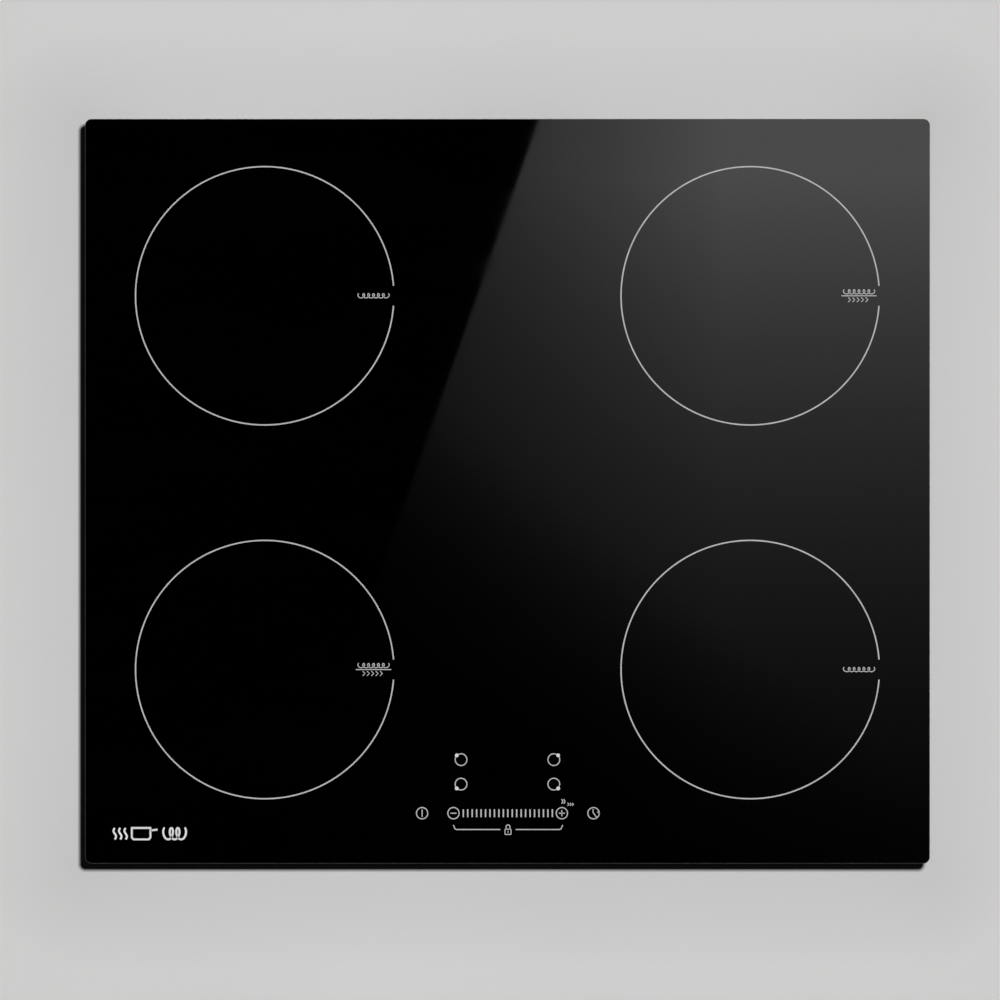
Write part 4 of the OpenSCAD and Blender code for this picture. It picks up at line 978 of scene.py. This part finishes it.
# a wire wound round a ring core on each seed point
def wireToroid(tree, enter):
    line = put(tree, "GeometryNodeCurvePrimitiveLine").outputs[0]
    path = put(tree, "GeometryNodeResampleCurve", {"Curve": line, "Count": enter["Steps"]}).outputs[0]
    share = put(tree, "GeometryNodeSplineParameter").outputs["Factor"]
    turn = spread(tree, share, 0.0, 1.0, enter["Gap"], calc(tree, "SUBTRACT", 2 * math.pi, enter["Gap"]))
    swing = calc(tree, "MULTIPLY", turn, enter["Turns"])
    outward = calc(tree, "MULTIPLY", enter["Winding"], calc(tree, "COSINE", swing))
    reach = calc(tree, "ADD", enter["Radius"], outward)
    place = put(tree, "ShaderNodeCombineXYZ", {
        "X": calc(tree, "MULTIPLY", reach, calc(tree, "COSINE", turn)),
        "Y": calc(tree, "MULTIPLY", reach, calc(tree, "SINE", turn)),
        "Z": calc(tree, "MULTIPLY", enter["Winding"], calc(tree, "SINE", swing))}).outputs[0]
    wound = put(tree, "GeometryNodeSetPosition", {"Geometry": path, "Position": place}).outputs[0]
    swept = put(tree, "GeometryNodeCurveToMesh", {
        "Curve": namedAlong(tree, wound), "Profile Curve": wireProfile(tree, enter),
        "Fill Caps": True}).outputs[0]
    return onPoints(tree, enter, swept)


def wireCore(tree, enter):
    ring = circle(tree, 72, enter["Radius"])
    around = circle(tree, 24, enter["Core"])
    swept = put(tree, "GeometryNodeCurveToMesh", {"Curve": ring, "Profile Curve": around}).outputs[0]
    return onPoints(tree, enter, swept)


toroidTree = growTree("toroidWindings", [
    ("Turns", "Float", 21.0), ("Radius", "Float", 13.0 * mm), ("Winding", "Float", 6.3 * mm),
    ("Wire", "Float", 0.8 * mm), ("Gap", "Float", 0.25), ("Steps", "Int", 400), ("Sides", "Int", 8),
], wireToroid)
coreTree = growTree("ringCores", [
    ("Radius", "Float", 13.0 * mm), ("Core", "Float", 5.5 * mm)], wireCore)

chokeLook = {
    "boardRadius": 13.0 * mm,
    "filterRadius": 12.0 * mm,
    "thickness": 0.55,              # half the wound ring's thickness, as a share of its middle radius
    "apart": 42.0 * mm,
    "wire": 0.8 * mm,
    "turns": 21.0,
    "gap": 0.25,                    # bare core on each side of the two ends, in radians
    "steps": 400,
    "sides": 8,
}


def makeChoke(name, radius, places, look):
    wound = look["thickness"] * radius
    winding = grow(name + "_winding", toroidTree, {
        "Turns": look["turns"], "Radius": radius, "Winding": wound - look["wire"],
        "Wire": look["wire"], "Gap": look["gap"], "Steps": look["steps"], "Sides": look["sides"]},
        seedMesh(name, places), finishes["choke_copper"])
    core = grow(name + "_core", coreTree, {
        "Radius": radius, "Core": wound - 2.05 * look["wire"]}, seedMesh(name, places), finishes["ferrite"])
    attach(winding, "root")
    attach(core, "root")
    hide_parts("board_chokes")


def makeChokes(look):
    low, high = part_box("board_chokes")
    wide = 1 + look["thickness"]
    x = high.x - wide * look["boardRadius"]
    y = low.y + wide * look["boardRadius"]
    boards = [(side * (x - k * look["apart"]), y, low.z + look["thickness"] * look["boardRadius"])
              for side in (-1, 1) for k in (0, 1)]
    makeChoke("board_choke", look["boardRadius"], boards, look)
    middle = (0.0, high.y - wide * look["filterRadius"], low.z + look["thickness"] * look["filterRadius"])
    makeChoke("filter_choke", look["filterRadius"], [middle], look)


makeChokes(chokeLook)


studio = {
    "floorSize": 14.0,
    "floorTone": (0.80, 0.80, 0.79),
    "floorLight": 2.3,
    "shadeReach": (11.9 * mm, 4.0 * mm, 11.8 * mm, 3.0 * mm),     # left, right, front and rear of the glass
    "shadeCorner": 4.6 * mm,
    "shadeSoft": 2.6 * mm,
    "shadeTone": 0.004,
    "shadeFar": 70.0 * mm,          # width of the faint edge
    "shadeFaint": 0.86,
    "keyPower": 1.3,
    "keyFrom": (0.40, 0.50, 0.77),
    "sky": (0.90, 0.94, 1.0),
    "skyForSurfaces": 0.04,
    "backdrop": 0.75,
    "cardHeight": 6.0,
    "cardHalf": 1.5,
}


def stageMaterial(name):
    made = bpy.data.materials.new(name)
    made.use_nodes = True
    made.node_tree.nodes.clear()
    return made, made.node_tree


# 0 in a painted rectangle under the appliance and 1 on the open floor, with a faint wide edge
def floorShade(tree, place, look):
    left, right, front, rear = look["shadeReach"]
    low = (glassLow.x - left, glassLow.y - front)
    high = (glassHigh.x + right, glassHigh.y + rear)
    part = put(tree, "ShaderNodeSeparateXYZ", {0: place}).outputs
    past = []
    for k in (0, 1):
        middle = calc(tree, "SUBTRACT", part[k], (low[k] + high[k]) / 2)
        inset = (high[k] - low[k]) / 2 - look["shadeCorner"]
        past.append(calc(tree, "MAXIMUM", calc(tree, "SUBTRACT", calc(tree, "ABSOLUTE", middle), inset), 0.0))
    squares = [calc(tree, "POWER", value, 2.0) for value in past]
    away = calc(tree, "SQRT", calc(tree, "ADD", *squares))
    edge = calc(tree, "SUBTRACT", away, look["shadeCorner"])
    near = spread(tree, edge, -look["shadeSoft"] / 2, look["shadeSoft"] / 2)
    return calc(tree, "MULTIPLY", near, spread(tree, edge, 0.0, look["shadeFar"], look["shadeFaint"], 1.0))


# a square about a middle point, facing up, or down when turned over
def makeSquare(name, half, middle, over=1):
    corners = [(-half, -half * over), (half, -half * over), (half, half * over), (-half, half * over)]
    mesh = bpy.data.meshes.new(name)
    mesh.from_pydata([Vector((x, y, 0.0)) + middle for x, y in corners], [], [(0, 1, 2, 3)])
    square = bpy.data.objects.new(name, mesh)
    scene.collection.objects.link(square)
    return square


def makeFloor(look):
    floor = makeSquare("floor", look["floorSize"] / 2, Vector((0.0, 0.0, 0.0)))
    made, tree = stageMaterial("paleFloor")
    place = objectPlace(tree)
    tone = mixTones(tree, spread(tree, noiseAt(tree, place, 3.0), 0.3, 0.7), tint(look["floorTone"]),
                    tint([v * 0.97 for v in look["floorTone"]]))
    shaded = mixTones(tree, floorShade(tree, place, look), tint((look["shadeTone"],) * 3), tone)
    matt = put(tree, "ShaderNodeBsdfDiffuse", {"Color": shaded}).outputs[0]
    clear = put(tree, "ShaderNodeBsdfTransparent").outputs[0]
    below = put(tree, "ShaderNodeNewGeometry").outputs["Backfacing"]
    both = put(tree, "ShaderNodeMixShader", {0: below, 1: matt, 2: clear}).outputs[0]
    put(tree, "ShaderNodeOutputMaterial", {"Surface": both})
    floor.data.materials.append(made)
    floor.visible_shadow = False      # so that the lamps below reach the underside
    return floor


floor = makeFloor(studio)


# the light passes over these pieces
def unlit(light, *targets):
    skip = bpy.data.collections.new(light.name + "Skips")
    for target in targets:
        skip.objects.link(target)
    for entry in skip.collection_objects:
        entry.light_linking.link_state = "EXCLUDE"
    light.light_linking.receiver_collection = skip


def makeSun(name, power, source):
    data = bpy.data.lights.new(name, "SUN")
    data.energy = power
    data.angle = 0.03
    sun = bpy.data.objects.new(name, data)
    sun.rotation_euler = Vector(source).to_track_quat("Z", "Y").to_euler()
    sun.visible_glossy = False
    scene.collection.objects.link(sun)
    return sun


# the floor has light of its own from straight above, which nothing else catches or blocks
def makeFloorLight(look):
    light = makeSun("floorLight", look["floorLight"], (0.0, 0.0, 1.0))
    alone = bpy.data.collections.new("floorOnly")
    alone.objects.link(floor)
    light.light_linking.receiver_collection = alone
    light.light_linking.blocker_collection = alone


softBoxes = {
    "frontLeft": {"at": (-1.9, -2.1, 1.5), "size": 1.6, "power": 34.0},
    "frontRight": {"at": (2.2, -1.7, 1.2), "size": 1.4, "power": 22.0},
    "rear": {"at": (0.6, 2.6, 1.4), "size": 1.8, "power": 30.0},
    "below": {"at": (-1.0, -1.2, -2.2), "size": 2.2, "power": 60.0},
    "belowRear": {"at": (1.5, 1.8, -1.8), "size": 1.6, "power": 34.0},
}


def makeSoftBox(name, look):
    data = bpy.data.lights.new(name, "AREA")
    data.shape = "DISK"
    data.size = look["size"]
    data.energy = look["power"]
    box = bpy.data.objects.new(name, data)
    box.location = look["at"]
    box.rotation_euler = Vector(look["at"]).to_track_quat("Z", "Y").to_euler()
    scene.collection.objects.link(box)
    unlit(box, floor, bpy.data.objects["glass_top"])      # no round glare on the polished plate


def makeCard(look):
    middle = Vector((cameraLook["aimX"], cameraLook["aimY"], look["cardHeight"]))
    card = makeSquare("card", look["cardHalf"], middle, over=-1)
    made, tree = stageMaterial("softCard")
    put(tree, "ShaderNodeOutputMaterial", {"Surface": cardGlow(tree, cardLook)})
    card.data.materials.append(made)
    card.visible_camera = False
    card.visible_diffuse = False
    card.visible_shadow = False


cardLook = {
    "edgeAt": -0.2338,              # the card's lit half starts along a slanted line
    "edgeLean": 0.35,
    "peak": 0.29,                   # brightest tone seen in the glass, as a display value
    "tall": (-1.68, 0.80),          # the glow rises between these, to the rear
    "tallPower": 2.08,
    "wide": (-0.83, 0.556),         # and between these, to the right
    "corner": (-0.81, 0.162),       # and fades towards the near left corner
    "cornerLean": 1.276,
    "body": 0.00078,                # light that the glass gives off without the card
    "gain": 23.5,                   # one over the glass's mirror strength
}


def product(tree, first, *others):
    for value in others:
        first = calc(tree, "MULTIPLY", first, value)
    return first


# the display curve's power part, turned back into light
def fromDisplay(tree, tone):
    return calc(tree, "POWER", calc(tree, "DIVIDE", calc(tree, "ADD", tone, 0.055), 1.055), 2.4)


def cardGlow(tree, look):
    part = put(tree, "ShaderNodeSeparateXYZ", {0: objectPlace(tree)}).outputs
    x = calc(tree, "SUBTRACT", part[0], cameraLook["aimX"])
    y = calc(tree, "SUBTRACT", part[1], cameraLook["aimY"])
    border = calc(tree, "ADD", product(tree, y, look["edgeLean"]), look["edgeAt"])
    lit = calc(tree, "GREATER_THAN", x, border)
    rise = calc(tree, "POWER", spread(tree, y, *look["tall"]), look["tallPower"])
    sweep = spread(tree, x, *look["wide"])
    slant = calc(tree, "ADD", x, product(tree, y, look["cornerLean"]))
    fade = spread(tree, slant, *look["corner"])
    seen = fromDisplay(tree, product(tree, rise, sweep, fade, look["peak"]))
    level = calc(tree, "SUBTRACT", seen, look["body"], clamp=True)
    return put(tree, "ShaderNodeEmission", {"Strength": product(tree, level, look["gain"], lit)}).outputs[0]


panelLook = {
    "count": 7.0,                   # panels all round
    "slant": 9.0,
    "between": 0.12,                # how bright the gaps are
    "overhead": 0.1,
    "sides": (0.3, 1.3),            # strength at the front left and at the rear right
}


# gloss mirrors tall soft panels with slanted edges, brightest near the horizon
def panelGlow(tree, aim, look):
    part = put(tree, "ShaderNodeSeparateXYZ", {0: aim}).outputs
    turn = calc(tree, "ARCTAN2", part[1], part[0])
    phase = calc(tree, "ADD", product(tree, turn, look["count"]), product(tree, part[2], look["slant"]))
    panels = spread(tree, calc(tree, "SINE", phase), -0.5, 0.6, look["between"], 1.0)
    horizon = spread(tree, calc(tree, "ABSOLUTE", part[2]), 0.0, 0.8, 1.0, look["overhead"])
    lean = spread(tree, calc(tree, "ADD", part[0], part[1]), -1.2, 1.2, *look["sides"])
    return product(tree, panels, horizon, lean)


def makeWorld(look):
    world = bpy.data.worlds.new("studio")
    world.use_nodes = True
    scene.world = world
    tree = world.node_tree
    tree.nodes.clear()
    shown = panelGlow(tree, put(tree, "ShaderNodeTexCoord").outputs["Generated"], panelLook)
    rays = put(tree, "ShaderNodeLightPath").outputs
    camera, glossy = rays["Is Camera Ray"], rays["Is Glossy Ray"]
    surfaces = calc(tree, "SUBTRACT", 1.0, calc(tree, "MAXIMUM", camera, glossy))
    plain = calc(tree, "ADD", product(tree, camera, look["backdrop"]),
                 product(tree, surfaces, look["skyForSurfaces"]))
    strength = calc(tree, "ADD", product(tree, shown, glossy), plain)
    tone = mixTones(tree, camera, tint(look["sky"]), tint(look["floorTone"]))
    glow = put(tree, "ShaderNodeBackground", {"Color": tone, "Strength": strength}).outputs[0]
    put(tree, "ShaderNodeOutputWorld", {"Surface": glow})


makeFloorLight(studio)
unlit(makeSun("key", studio["keyPower"], studio["keyFrom"]), floor)
for boxName, boxLook in softBoxes.items():
    makeSoftBox(boxName, boxLook)
makeCard(studio)
makeWorld(studio)
scene.view_settings.view_transform = "Standard"
print("studio ready")
